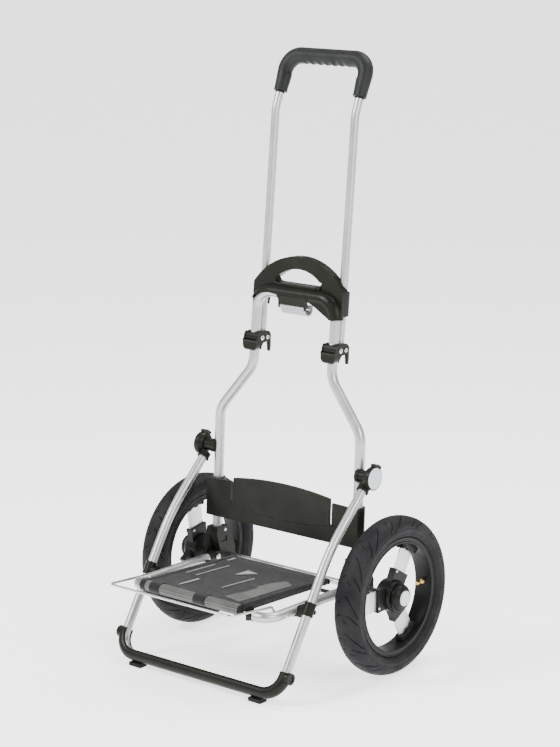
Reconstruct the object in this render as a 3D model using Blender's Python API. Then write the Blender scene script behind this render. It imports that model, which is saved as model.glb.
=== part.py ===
"""Folding two-wheeled hand truck: bent aluminium frame, telescopic handle, fold-down stand and shelf.

Metres, +Z up, floor at z = 0. The user stands on +Y and the shelf points to -Y.
Every shape is worked out in axle coordinates, with y = 0 on the axle, and finish() moves it back
by AXLE_Y so that the whole truck is centred on the origin.
"""

import math

import bmesh
import bpy
from mathutils import Matrix, Vector

AXLE_Y = 0.09707
GAP = 0.0003
WALL = 0.0015

# Sides of a round shape. A bore has flat sides too, so its corners keep clear of the bar by BORE_GAP.
RING = 8
BORE_RING = 12
MEDIUM_RING = 16
FINE_RING = 20
BORE_GAP = 0.0006

# Wheels
WHEEL_RADIUS = 0.145
WHEEL_X = 0.2298
TYRE_HALF_WIDTH = 0.025
BEAD_RADIUS = 0.1012
FLANGE_RADIUS = 0.1084
BARREL_RADIUS = 0.0975
RIM_HALF_WIDTH = 0.0185
RIM_GROOVE_HALF_WIDTH = 0.0153
HUB_RADIUS = 0.029
HUB_OUT = 0.0150
CAP_RADIUS = 0.0244
CAP_OUT = 0.0310
CAP_FLOOR = 0.0262
WHEEL_BUTTON_RADIUS = 0.0137
WHEEL_BUTTON_OUT = 0.0322
SPOKE_HALF_WIDTH = 0.019
SPOKE_HALF_THICK = 0.002
SPOKE_ANGLES = {1: (60, 180, 300), -1: (100, 220, 340)}
VALVE_ANGLE = {1: 2, -1: 40}
WHEEL_SEGMENTS = 28

AXLE_Z = WHEEL_RADIUS
AXLE_RADIUS = 0.006
AXLE_HALF_LENGTH = 0.2535

# Uprights and handle tube. The uprights lean back a little, and more above the flare.
MAIN_RADIUS = 0.00925
LOWER_X = 0.1655
UPPER_X = 0.0915
BEND_Z = 0.434
BEND_Y = -0.0086
LOWER_LEAN = 0.049
UPPER_LEAN = 0.098
UPRIGHT_FOOT_Z = 0.192
FLARE_LOW_Z = 0.431
FLARE_HIGH_Z = 0.5215
ARCH_Z = 0.661
ARCH_CORNER = 0.034
HANDLE_RADIUS = 0.0075
HANDLE_BEHIND = 0.0182
HANDLE_FOOT_Z = 0.5635
HANDLE_BEND_Z = 0.988
HANDLE_TOP_Z = 1.083
HANDLE_TOP_LEAN = math.tan(math.radians(22))
HANDLE_CORNER = 0.030
GRIP_END_Z = 1.019

# Clamps
PIN_Z = 0.574
CLAMP_HALF_WIDTH = 0.0130
CLAMP_NOSE = 0.0128
CAM_BORE_RADIUS = 0.0043
BOLT_DROP = 0.002
LEVER_INNER = 0.0134
LEVER_OUTER = 0.0166

# Carry bracket
BRACKET_HALF_WIDTH = 0.1035
BRACKET_SIDE_Z = 0.676
BRACKET_TOP_Z = 0.730
BRACKET_LOW_Z = 0.632
HOLE_HALF_WIDTH = 0.054
HOLE_LOW_Z = 0.680
HOLE_TOP_Z = 0.7075
PLATE_FRONT = 0.0135
PLATE_BACK = 0.0300
COVER_RADIUS = 0.0148
HOOK_HALF_WIDTH = 0.028
HOOK_RADIUS = 0.0118
HOOK_PIN_Y = 0.0020
HOOK_PIN_Z = 0.6405
HOOK_PIN_RADIUS = 0.0014
HOOK_BORE_RADIUS = 0.0018

# Back panel
PANEL_LOW_Z = 0.2292
PANEL_SIDE_Z = 0.300
PANEL_TOP_Z = 0.3175
PANEL_HALF_WIDTH = 0.1788
PANEL_FRONT = -0.0345
PANEL_BACK = -0.0290
SLIT_X = 0.117
SLIT_WIDTH = 0.0035
SLIT_FOOT_Z = 0.262
SLEEVE_RADIUS = 0.0133

# Stand and its hinges
HINGE_Y = -0.0187
HINGE_Z = 0.3597
BOSS_RADIUS = 0.0115
COLLAR_RADIUS = 0.0122
COLLAR_HALF_HEIGHT = 0.014
DISC_RADIUS = 0.0215
DISC_IN = 0.1962
DISC_OUT = 0.2060
BUTTON_RADIUS = 0.0194
BUTTON_OUT = 0.2068
LEG_X = 0.1885
LEG_RADIUS = 0.00825
SOCKET_MOUTH = Vector((LEG_X, -0.0338, 0.3367))
SOCKET_AIM = Vector((0, -0.7193, -0.6947))
LEG_BEND = Vector((LEG_X, -0.1253, 0.2484))
FOOT_CORNER = Vector((LEG_X, -0.2663, 0.0200))
FOOT_CORNER_RADIUS = 0.036
COVER_FOOT_RADIUS = 0.0117
PAD_X = 0.142

# Shelf
SHELF_X = 0.160
SHELF_Z = 0.1505
SHELF_RADIUS = 0.009
PLUG_RADIUS = 0.0066
SHELF_COLLAR_RADIUS = 0.0096
PIVOT_BORE_RADIUS = 0.0038
KNUCKLE_ROOM = 0.0112
SHELF_FOLD = 75
SHELF_FRONT_Y = -0.258
SHELF_REAR_Y = -0.056
SHELF_PIVOT_Y = -0.036
SHELF_CORNER = 0.026
SHELF_INNER_X = 0.129
TRAY_HALF_WIDTH = 0.1148
TRAY_ROD_Y = -0.2790
TRAY_ROD_Z = 0.1635
TRAY_ROD_RADIUS = 0.0075
TRAY_REAR_Y = -0.036
TRAY_REAR_Z = 0.1545
TRAY_REAR_RADIUS = 0.0045
SHEET = 0.0016
BAIL_RADIUS = 0.00225
BAIL_PIVOT_Y = -0.224

MATERIALS = {
    "aluminium": ((0.72, 0.73, 0.73), 0.32, 1.0),
    "steel": ((0.62, 0.63, 0.64), 0.25, 1.0),
    "brass": ((0.72, 0.52, 0.22), 0.30, 1.0),
    "black_plastic": ((0.018, 0.018, 0.015), 0.42, 0.0),
    "grey_plastic": ((0.56, 0.60, 0.61), 0.45, 0.0),
    "soft_grip": ((0.035, 0.036, 0.038), 0.75, 0.0),
    "tyre_rubber": ((0.045, 0.046, 0.049), 0.80, 0.0),
    "woven_fabric": ((0.055, 0.055, 0.057), 0.90, 0.0),
}


# ---------------------------------------------------------------- scene and objects


def clear_scene():
    for obj in list(bpy.data.objects):
        bpy.data.objects.remove(obj, do_unlink=True)


def material(name):
    found = bpy.data.materials.get(name)
    if found:
        return found
    colour, roughness, metallic = MATERIALS[name]
    made = bpy.data.materials.new(name)
    made.use_nodes = True
    shader = made.node_tree.nodes["Principled BSDF"]
    shader.inputs["Base Color"].default_value = (*colour, 1)
    shader.inputs["Roughness"].default_value = roughness
    shader.inputs["Metallic"].default_value = metallic
    made.diffuse_color = (*colour, 1)
    return made


def finish(name, bm, finish_name, origin=(0, 0, 0), side=1):
    """Make one object from shapes given in axle coordinates, with its origin at the given point.

    Side -1 mirrors the shapes and the origin to the left.
    """
    origin = Vector((origin[0] * side, origin[1], origin[2]))
    if side < 0:
        bmesh.ops.scale(bm, vec=(-1, 1, 1), verts=bm.verts)
    bmesh.ops.recalc_face_normals(bm, faces=bm.faces)
    bmesh.ops.translate(bm, vec=-origin, verts=bm.verts)
    mesh = bpy.data.meshes.new(name)
    bm.to_mesh(mesh)
    bm.free()
    mesh.shade_smooth()
    mesh.set_sharp_from_angle(angle=math.radians(35))
    mesh.materials.append(material(finish_name))
    obj = bpy.data.objects.new(name, mesh)
    obj.location = origin + Vector((0, AXLE_Y, 0))
    bpy.context.scene.collection.objects.link(obj)
    return obj


def solid(name, finish_name, adds, cuts=(), origin=(0, 0, 0), side=1):
    """One object: the first shape, joined with the other adds, less the cuts, by Boolean modifiers."""
    obj = finish(name, adds[0], finish_name, origin, side)
    helpers = [("UNION", bm) for bm in adds[1:]] + [("DIFFERENCE", bm) for bm in cuts]
    for number, (operation, bm) in enumerate(helpers, start=1):
        tool = finish(f"{name}_tool_{number}", bm, finish_name, side=side)
        tool.hide_render = True
        tool.hide_viewport = True
        tool.display_type = "WIRE"
        boolean = obj.modifiers.new(f"{operation.lower()}_{number}", "BOOLEAN")
        boolean.operation = operation
        boolean.solver = "EXACT"
        boolean.object = tool
    return obj


# ---------------------------------------------------------------- shapes


def prism(outline, axis, low, high):
    """Outline extruded from low to high along an axis: x takes (y, z) points and y takes (x, z) points."""
    bm = bmesh.new()
    points = [(low, u, v) if axis == "x" else (u, low, v) for u, v in outline]
    face = bm.faces.new([bm.verts.new(point) for point in points])
    made = bmesh.ops.extrude_face_region(bm, geom=[face])
    moved = [item for item in made["geom"] if isinstance(item, bmesh.types.BMVert)]
    reach = (high - low, 0, 0) if axis == "x" else (0, high - low, 0)
    bmesh.ops.translate(bm, vec=reach, verts=moved)
    return bm


def box(x, y, z):
    """Box from three (low, high) pairs."""
    return prism([(y[0], z[0]), (y[1], z[0]), (y[1], z[1]), (y[0], z[1])], "x", *x)


def arc(centre, radius, start, end, steps):
    """Points of a circular arc, angles in degrees."""
    angles = [math.radians(start + (end - start) * i / steps) for i in range(steps + 1)]
    return [(centre[0] + radius * math.cos(a), centre[1] + radius * math.sin(a)) for a in angles]


def lathe(profile, centre, axis, segments=RING):
    """Closed (along, radius) profile turned round an axis through centre."""
    bm = bmesh.new()
    axis = Vector(axis).normalized()
    across = axis.orthogonal().normalized()
    beside = axis.cross(across)
    angles = [2 * math.pi * k / segments for k in range(segments)]
    spokes = [across * math.cos(a) + beside * math.sin(a) for a in angles]
    rings = []
    for along, radius in profile:
        middle = Vector(centre) + axis * along
        if radius == 0:
            rings.append([bm.verts.new(middle)] * segments)
        else:
            rings.append([bm.verts.new(middle + spoke * radius) for spoke in spokes])
    pairs = list(zip(rings, rings[1:]))
    if profile[0][1] > 0:
        pairs.append((rings[-1], rings[0]))
    for first, second in pairs:
        for k in range(segments):
            after = (k + 1) % segments
            corners = [first[k], first[after], second[after], second[k]]
            unique = list(dict.fromkeys(corners))
            if len(unique) > 2:
                bm.faces.new(unique)
    return bm


def rod(start, end, radius, segments=RING):
    """Solid cylinder between two points."""
    start = Vector(start)
    reach = Vector(end) - start
    profile = [(0, 0), (0, radius), (reach.length, radius), (reach.length, 0)]
    return lathe(profile, start, reach, segments)


def fillet(corners, radii, steps=4):
    """Path through the corners, each inner corner rounded by an arc of its radius."""
    path = [Vector(corners[0])]
    for before, corner, after, radius in zip(corners, corners[1:], corners[2:], radii):
        corner = Vector(corner)
        back = (Vector(before) - corner).normalized()
        on = (Vector(after) - corner).normalized()
        half = back.angle(on) / 2
        middle = corner + (back + on).normalized() * radius / math.sin(half)
        first = corner + back * radius / math.tan(half) - middle
        last = corner + on * radius / math.tan(half) - middle
        turn = first.angle(last)
        for i in range(steps + 1):
            share = i / steps
            mix = first * math.sin((1 - share) * turn) + last * math.sin(share * turn)
            path.append(middle + mix / math.sin(turn))
    path.append(Vector(corners[-1]))
    return path


def sweep(path, radius, bore=0, segments=RING):
    """Round bar along a path, or an open-ended tube when it has a bore. Radius may vary by point."""
    bm = bmesh.new()
    radii = radius if isinstance(radius, list) else [radius] * len(path)
    aims = [(b - a).normalized() for a, b in zip(path, path[1:])]
    aims = [aims[0]] + [(a + b).normalized() for a, b in zip(aims, aims[1:])] + [aims[-1]]
    across = aims[0].orthogonal().normalized()
    angles = [2 * math.pi * k / segments for k in range(segments)]
    outer = []
    inner = []
    for point, aim, reach in zip(path, aims, radii):
        across = (across - aim * across.dot(aim)).normalized()
        beside = aim.cross(across)
        spokes = [across * math.cos(a) + beside * math.sin(a) for a in angles]
        outer.append([bm.verts.new(point + spoke * reach) for spoke in spokes])
        if bore:
            inner.append([bm.verts.new(point + spoke * bore) for spoke in spokes])
    shells = [outer, inner] if bore else [outer]
    for rings in shells:
        for first, second in zip(rings, rings[1:]):
            stitch(bm, first, second)
    if bore:
        stitch(bm, outer[0], inner[0])
        stitch(bm, outer[-1], inner[-1])
    else:
        bm.faces.new(outer[0])
        bm.faces.new(outer[-1])
    return bm


def stitch(bm, first, second):
    """Quads between two rings of the same length."""
    count = len(first)
    for k in range(count):
        after = (k + 1) % count
        bm.faces.new([first[k], first[after], second[after], second[k]])


def tube_room(x, line_y, low, high, radius):
    """Cutter for a leaning tube: line_y gives the tube's y at a height."""
    return rod((x, line_y(low), low), (x, line_y(high), high), radius + BORE_GAP, BORE_RING)


def shear_back(bm, lean, from_z):
    """Lean a shape back by sliding its points along Y with height."""
    for vert in bm.verts:
        vert.co.y += (vert.co.z - from_z) * lean
    return bm


def mirrored(corners):
    """Corners of a symmetric path: the right half as given, then its mirror image."""
    return corners + [(-x, y, z) for x, y, z in reversed(corners)]


# ---------------------------------------------------------------- centre lines


def upright_y(z):
    lean = LOWER_LEAN if z < BEND_Z else UPPER_LEAN
    return BEND_Y + (z - BEND_Z) * lean


def handle_y(z):
    return BEND_Y + HANDLE_BEHIND + (z - BEND_Z) * UPPER_LEAN


def upright_path():
    heights = [UPRIGHT_FOOT_Z, FLARE_LOW_Z, FLARE_HIGH_Z, ARCH_Z]
    sides = [LOWER_X, LOWER_X, UPPER_X, UPPER_X]
    right = [(x, upright_y(z), z) for x, z in zip(sides, heights)]
    bends = [0.05, 0.05, ARCH_CORNER]
    return fillet(mirrored(right), bends + bends[::-1])


def arch_path():
    """The arch over the top of the uprights, inside the carry bracket."""
    foot_z = ARCH_Z - ARCH_CORNER - GAP
    return [point for point in upright_path() if point.z > foot_z]


def handle_path():
    top_y = handle_y(HANDLE_BEND_Z) + (HANDLE_TOP_Z - HANDLE_BEND_Z) * HANDLE_TOP_LEAN
    right = [
        (UPPER_X, handle_y(HANDLE_FOOT_Z), HANDLE_FOOT_Z),
        (UPPER_X, handle_y(HANDLE_BEND_Z), HANDLE_BEND_Z),
        (UPPER_X, top_y, HANDLE_TOP_Z),
    ]
    bends = [0.06, HANDLE_CORNER]
    return fillet(mirrored(right), bends + bends[::-1])


def grip_path():
    """The handle tube's own line from one grip end over the top bar to the other."""
    end_y = handle_y(HANDLE_BEND_Z) + (GRIP_END_Z - HANDLE_BEND_Z) * HANDLE_TOP_LEAN
    above = [point for point in handle_path() if point.z > GRIP_END_Z]
    middle = len(above) // 2
    bar = above[middle] - above[middle - 1]
    between = [above[middle - 1] + bar * share for share in (0.25, 0.5, 0.75)]
    ends = [Vector((x, end_y, GRIP_END_Z)) for x in (UPPER_X, -UPPER_X)]
    return [ends[0], *above[:middle], *between, *above[middle:], ends[1]]


def leg_path():
    top = SOCKET_MOUTH - SOCKET_AIM * 0.010
    right = [tuple(top), tuple(LEG_BEND), tuple(FOOT_CORNER)]
    bends = [0.35, FOOT_CORNER_RADIUS]
    return fillet(mirrored(right), bends + bends[::-1])


def leg_point(z):
    """Point of the straight lower leg at height z."""
    share = (z - FOOT_CORNER.z) / (LEG_BEND.z - FOOT_CORNER.z)
    return FOOT_CORNER.lerp(LEG_BEND, share)


def shelf_path():
    corners = [
        (SHELF_X, SHELF_REAR_Y, SHELF_Z),
        (SHELF_X, SHELF_FRONT_Y, SHELF_Z),
        (SHELF_INNER_X, SHELF_FRONT_Y, SHELF_Z),
    ]
    return fillet(corners, [SHELF_CORNER], 6)


def tray_z(y):
    """Height of the top of the tray, which rises towards the front."""
    front = TRAY_ROD_Z + TRAY_ROD_RADIUS + SHEET + GAP
    rear = TRAY_REAR_Z + TRAY_REAR_RADIUS + SHEET + GAP
    share = (y - TRAY_REAR_Y) / (TRAY_ROD_Y - TRAY_REAR_Y)
    return rear + (front - rear) * share


# ---------------------------------------------------------------- frame


def main_frame_tube():
    y = upright_y(PIN_Z)
    pins = [rod((x - 0.012, y, PIN_Z), (x + 0.012, y, PIN_Z), CAM_BORE_RADIUS) for x in (UPPER_X, -UPPER_X)]
    tube = sweep(upright_path(), MAIN_RADIUS, MAIN_RADIUS - WALL)
    solid("main_frame_tube", "aluminium", [tube], pins)


def cross_panel():
    half_slit = SLIT_WIDTH / 2
    sagitta = PANEL_TOP_Z - 0.309
    half_chord = SLIT_X - half_slit
    radius = (half_chord**2 + sagitta**2) / (2 * sagitta)
    swing = math.degrees(math.asin(half_chord / radius))
    crown = arc((0, PANEL_TOP_Z - radius), radius, 90 - swing, 90 + swing, 10)
    right = [
        (PANEL_HALF_WIDTH, PANEL_LOW_Z),
        (PANEL_HALF_WIDTH, PANEL_SIDE_Z),
        (SLIT_X + half_slit, PANEL_SIDE_Z + 0.002),
        (SLIT_X + half_slit, SLIT_FOOT_Z),
        (SLIT_X - half_slit, SLIT_FOOT_Z),
    ]
    left = [(-x, z) for x, z in reversed(right)]
    plate = prism(right + crown + left, "y", PANEL_FRONT, PANEL_BACK)
    inside = PANEL_BACK - 0.001
    lip = box((-0.148, 0.148), (inside, PANEL_BACK + 0.007), (PANEL_LOW_Z, PANEL_LOW_Z + 0.003))
    ribs = []
    height = (PANEL_LOW_Z + 0.001, PANEL_SIDE_Z)
    for x in (-0.09, -0.03, 0.03, 0.09):
        ribs.append(box((x - 0.0015, x + 0.0015), (inside, PANEL_BACK + 0.006), height))
    middle = (PANEL_LOW_Z + PANEL_SIDE_Z) / 2
    low = PANEL_LOW_Z - 0.01
    high = PANEL_SIDE_Z + 0.01
    sleeves = []
    bores = []
    for x in (LOWER_X, -LOWER_X):
        centre = (x, upright_y(middle))
        sleeves.append(rod((*centre, PANEL_LOW_Z), (*centre, PANEL_SIDE_Z), SLEEVE_RADIUS, FINE_RING))
        bores.append(rod((*centre, low), (*centre, high), MAIN_RADIUS + BORE_GAP, BORE_RING))
    adds = [plate, lip, *ribs, *sleeves]
    for bm in adds + bores:
        shear_back(bm, LOWER_LEAN, middle)
    solid("cross_panel", "black_plastic", adds, bores)


def bracket_plate():
    """Half-disc plate with the carry handle's hole, standing across the uprights."""
    sagitta = BRACKET_TOP_Z - BRACKET_SIDE_Z
    radius = (BRACKET_HALF_WIDTH**2 + sagitta**2) / (2 * sagitta)
    swing = math.degrees(math.asin(BRACKET_HALF_WIDTH / radius))
    crown = arc((0, BRACKET_TOP_Z - radius), radius, 90 - swing, 90 + swing, 16)
    foot = [
        (-BRACKET_HALF_WIDTH, BRACKET_LOW_Z),
        (-0.078, BRACKET_LOW_Z),
        (-0.060, 0.655),
        (0.060, 0.655),
        (0.078, BRACKET_LOW_Z),
        (BRACKET_HALF_WIDTH, BRACKET_LOW_Z),
    ]
    return prism(foot + crown, "y", PLATE_FRONT, PLATE_BACK)


def bracket_hole():
    corner = 0.009
    rise = HOLE_TOP_Z - HOLE_LOW_Z - corner
    radius = ((HOLE_HALF_WIDTH - 0.004)**2 + rise**2) / (2 * rise)
    swing = math.degrees(math.asin((HOLE_HALF_WIDTH - 0.004) / radius))
    top = arc((0, HOLE_TOP_Z - radius), radius, 90 - swing, 90 + swing, 10)
    right = arc((HOLE_HALF_WIDTH - corner, HOLE_LOW_Z + corner), corner, -90, 0, 4)
    left = arc((corner - HOLE_HALF_WIDTH, HOLE_LOW_Z + corner), corner, 180, 270, 4)
    return prism(right + top + left, "y", PLATE_FRONT - 0.02, PLATE_BACK + 0.02)


def carry_bracket():
    handle_bores = []
    sleeves = []
    for x in (UPPER_X, -UPPER_X):
        low = Vector((x, handle_y(BRACKET_LOW_Z), BRACKET_LOW_Z))
        high = Vector((x, handle_y(BRACKET_SIDE_Z), BRACKET_SIDE_Z))
        aim = (high - low).normalized()
        sleeves.append(rod(low, high, BRACKET_HALF_WIDTH - UPPER_X, MEDIUM_RING))
        handle_bores.append(rod(low - aim * 0.01, high + aim * 0.03, HANDLE_RADIUS + BORE_GAP, BORE_RING))
    cover = sweep(arch_path(), COVER_RADIUS, 0, MEDIUM_RING)
    rail = rod((-0.060, 0.0200, 0.6755), (0.060, 0.0200, 0.6755), 0.0085, 14)
    flap = [(-0.036, 0.660), (-0.027, 0.6446), (0.027, 0.6446), (0.036, 0.660)]
    tongue = prism(flap, "y", -0.0022, 0.0020)
    inside = HOOK_HALF_WIDTH + GAP
    ears = [box((x, x + 0.003), (-0.0022, 0.0055), (0.6375, 0.662)) for x in (inside, -inside - 0.003)]
    plate = bracket_plate()
    hole = bracket_hole()
    for bm in (plate, hole):
        shear_back(bm, UPPER_LEAN, 0.655)
    below = [(UPPER_X - 0.002, 0.600)]
    below += arc((UPPER_X - ARCH_CORNER, ARCH_Z - ARCH_CORNER), ARCH_CORNER - 0.002, 0, 90, 6)
    below += [(-x, z) for x, z in reversed(below)]
    open_arch = prism(below, "y", 0.0065, 0.040)
    keep_tube = sweep(upright_path(), MAIN_RADIUS + BORE_GAP, 0, BORE_RING)
    pin_hole = hook_axis_rod(0.034, HOOK_BORE_RADIUS)
    adds = [plate, cover, rail, tongue, *ears, *sleeves]
    cuts = [hole, open_arch, keep_tube, pin_hole, *handle_bores]
    solid("carry_bracket", "black_plastic", adds, cuts)


def hook_axis_rod(reach, radius):
    """Rod along the hook's hinge axis, reaching equally far to both sides."""
    return rod((-reach, HOOK_PIN_Y, HOOK_PIN_Z), (reach, HOOK_PIN_Y, HOOK_PIN_Z), radius)


def hook_pin():
    solid("hook_pin", "steel", [hook_axis_rod(HOOK_HALF_WIDTH + 0.0030, HOOK_PIN_RADIUS)])


def cart_hook():
    """Half-round hook that hangs from its pin under the arch."""
    centre = (HOOK_PIN_Y + 0.0118, HOOK_PIN_Z - 0.0035)
    outer = arc(centre, HOOK_RADIUS, 150, 395, 14)
    inner = arc(centre, HOOK_RADIUS - 0.0028, 395, 150, 14)
    shell = prism(outer + inner, "x", -HOOK_HALF_WIDTH, HOOK_HALF_WIDTH)
    knuckle = hook_axis_rod(HOOK_HALF_WIDTH, 0.0034)
    bore = hook_axis_rod(0.04, HOOK_BORE_RADIUS)
    solid("cart_hook", "grey_plastic", [shell, knuckle], [bore], (0, HOOK_PIN_Y, HOOK_PIN_Z))


def clamp_body(side, tag):
    """Moulded clamp: round nose on the upright, straight back round the handle tube, tail at the rear."""
    y = upright_y(PIN_Z)
    nose = arc((y, PIN_Z), CLAMP_NOSE, 105, 255, 8)
    back = HANDLE_BEHIND + HANDLE_RADIUS + 0.0040
    profile = nose + [
        (y + back - 0.0055, PIN_Z - 0.0125),
        (y + back - 0.0050, PIN_Z - 0.0290),
        (y + back - 0.0010, PIN_Z - 0.0300),
        (y + back, PIN_Z + 0.0090),
        (y + back - 0.0040, PIN_Z + 0.0120),
    ]
    body = prism(profile, "x", UPPER_X - CLAMP_HALF_WIDTH, UPPER_X + CLAMP_HALF_WIDTH)
    low = PIN_Z - 0.035
    high = PIN_Z + 0.03
    bolt_y = y + HANDLE_BEHIND
    bolt_z = PIN_Z - BOLT_DROP
    cuts = [
        tube_room(UPPER_X, upright_y, low, high, MAIN_RADIUS),
        tube_room(UPPER_X, handle_y, low, high, HANDLE_RADIUS),
        rod((UPPER_X - 0.02, y, PIN_Z), (UPPER_X + 0.02, y, PIN_Z), CAM_BORE_RADIUS),
        rod((UPPER_X + 0.0100, bolt_y, bolt_z), (UPPER_X + 0.0200, bolt_y, bolt_z), 0.0033),
    ]
    solid(f"clamp_body_{tag}", "black_plastic", [body], cuts, side=side)


def clamp_bolt(side, tag):
    """Hollow-headed bolt that draws the clamp round the handle tube."""
    root = (UPPER_X + 0.0103, upright_y(PIN_Z) + HANDLE_BEHIND, PIN_Z - BOLT_DROP)
    profile = [(0, 0), (0, 0.0030), (0.0031, 0.0030), (0.0031, 0.0050), (0.0050, 0.0046),
               (0.0050, 0.0022), (0.0025, 0.0022), (0.0025, 0)]
    solid(f"clamp_bolt_{tag}", "steel", [lathe(profile, root, (1, 0, 0))], side=side)


def cam_pin(side, tag):
    """Hollow rivet through lever, clamp and upright."""
    half = LEVER_OUTER + GAP
    head = 0.0013
    profile = [(-half - head, 0.0022), (-half - head, 0.0058), (-half, 0.0058), (-half, 0.0039),
               (half, 0.0039), (half, 0.0058), (half + head, 0.0058), (half + head, 0.0022)]
    bm = lathe(profile, (UPPER_X, upright_y(PIN_Z), PIN_Z), (1, 0, 0))
    solid(f"cam_pin_{tag}", "steel", [bm], side=side)


def clamp_lever(side, tag):
    """Quick-release lever: two cheeks on the pin and a paddle over the nose of the clamp."""
    y = upright_y(PIN_Z)
    profile = arc((y, PIN_Z), 0.0100, 60, -60, 5)
    profile += [(y - 0.0100, PIN_Z - 0.0205), (y - 0.0140, PIN_Z - 0.0235), (y - 0.0178, PIN_Z - 0.0150)]
    profile += arc((y, PIN_Z), CLAMP_NOSE + 0.0050, 205, 125, 6)
    body = prism(profile, "x", UPPER_X - LEVER_OUTER, UPPER_X + LEVER_OUTER)
    centre_low = (UPPER_X - LEVER_INNER, y, PIN_Z)
    centre_high = (UPPER_X + LEVER_INNER, y, PIN_Z)
    hollow = rod(centre_low, centre_high, CLAMP_NOSE + 0.0005, FINE_RING)
    between = (UPPER_X - LEVER_INNER, UPPER_X + LEVER_INNER)
    behind = box(between, (y - 0.0125, y + 0.02), (PIN_Z - 0.03, PIN_Z + 0.02))
    above = box(between, (y - 0.03, y + 0.02), (PIN_Z - 0.0035, PIN_Z + 0.02))
    bore = rod((UPPER_X - 0.02, y, PIN_Z), (UPPER_X + 0.02, y, PIN_Z), CAM_BORE_RADIUS)
    cuts = [hollow, behind, above, bore]
    solid(f"clamp_lever_{tag}", "black_plastic", [body], cuts, (UPPER_X, y, PIN_Z), side)


def hinge_axis_rod(low, high, radius, segments):
    """Rod along the right hinge's axis, between two x values."""
    return rod((low, HINGE_Y, HINGE_Z), (high, HINGE_Y, HINGE_Z), radius, segments)


def hinge_boss(side, tag):
    """Fixed half of the stand hinge: a collar on the upright and a stub on the hinge axis."""
    y = upright_y(HINGE_Z)
    low = HINGE_Z - COLLAR_HALF_HEIGHT
    high = HINGE_Z + COLLAR_HALF_HEIGHT
    collar = rod((LOWER_X, y, low), (LOWER_X, y, high), COLLAR_RADIUS, FINE_RING)
    shear_back(collar, LOWER_LEAN, HINGE_Z)
    stub = hinge_axis_rod(LOWER_X - 0.004, DISC_IN - GAP, BOSS_RADIUS, FINE_RING)
    spindle = hinge_axis_rod(DISC_IN - 0.004, 0.1998, 0.006, MEDIUM_RING)
    bore = tube_room(LOWER_X, upright_y, low - 0.016, high + 0.016, MAIN_RADIUS)
    solid(f"hinge_boss_{tag}", "black_plastic", [collar, stub, spindle], [bore], side=side)


def leg_socket(side, tag):
    """Turning half of the stand hinge: a disc outside, a dome inside and the socket for the leg."""
    profile = [
        (0.1900, 0),
        (0.1900, 0.0150),
        (DISC_IN, 0.0208),
        (DISC_IN + 0.001, DISC_RADIUS),
        (DISC_OUT - 0.001, DISC_RADIUS),
        (DISC_OUT, 0.0208),
        (DISC_OUT, 0),
    ]
    disc = lathe(profile, (0, HINGE_Y, HINGE_Z), (1, 0, 0), FINE_RING)
    start = SOCKET_MOUTH - SOCKET_AIM * 0.0115
    arm = rod(start, SOCKET_MOUTH - SOCKET_AIM * 0.001, 0.0108, 14)
    collar = rod(SOCKET_MOUTH - SOCKET_AIM * 0.003, SOCKET_MOUTH, 0.0118, 14)
    nose_outer = arc((HINGE_Y, HINGE_Z), 0.0262, 40, 92, 5)
    nose_inner = arc((HINGE_Y, HINGE_Z), 0.0205, 92, 40, 5)
    nose = prism(nose_outer + nose_inner, "x", DISC_IN + 0.0005, DISC_OUT - 0.0005)
    bore_end = SOCKET_MOUTH - SOCKET_AIM * 0.0103
    cuts = [
        hinge_axis_rod(0.170, DISC_IN, BOSS_RADIUS + BORE_GAP, 18),
        hinge_axis_rod(0.180, 0.215, 0.0064, MEDIUM_RING),
        hinge_axis_rod(0.2002, 0.215, BUTTON_RADIUS + GAP, FINE_RING),
        rod(bore_end, SOCKET_MOUTH + SOCKET_AIM * 0.01, LEG_RADIUS + BORE_GAP, BORE_RING),
    ]
    origin = (DISC_IN, HINGE_Y, HINGE_Z)
    solid(f"leg_socket_{tag}", "black_plastic", [disc, arm, collar, nose], cuts, origin, side)


def hinge_button(side, tag):
    profile = [
        (0.2035, 0),
        (0.2035, BUTTON_RADIUS),
        (BUTTON_OUT - 0.0006, BUTTON_RADIUS),
        (BUTTON_OUT, BUTTON_RADIUS - 0.0008),
        (BUTTON_OUT, 0),
    ]
    bm = lathe(profile, (0, HINGE_Y, HINGE_Z), (1, 0, 0), FINE_RING)
    solid(f"hinge_button_{tag}", "grey_plastic", [bm], origin=(DISC_OUT, HINGE_Y, HINGE_Z), side=side)


def shelf_swing():
    """Outline, in (y, z), of the space the shelf tube passes through as it folds up."""
    turn = math.radians(SHELF_FOLD)
    along = Vector((-math.cos(turn), math.sin(turn)))
    behind = Vector((SHELF_PIVOT_Y, SHELF_Z)) + Vector((along.y, -along.x)) * KNUCKLE_ROOM
    end = behind + along * 0.06
    around = arc((SHELF_PIVOT_Y, SHELF_Z), KNUCKLE_ROOM, -90, 90 - SHELF_FOLD, 8)
    return [(-0.08, SHELF_Z - KNUCKLE_ROOM), *around, tuple(end), (-0.08, end.y)]


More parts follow.
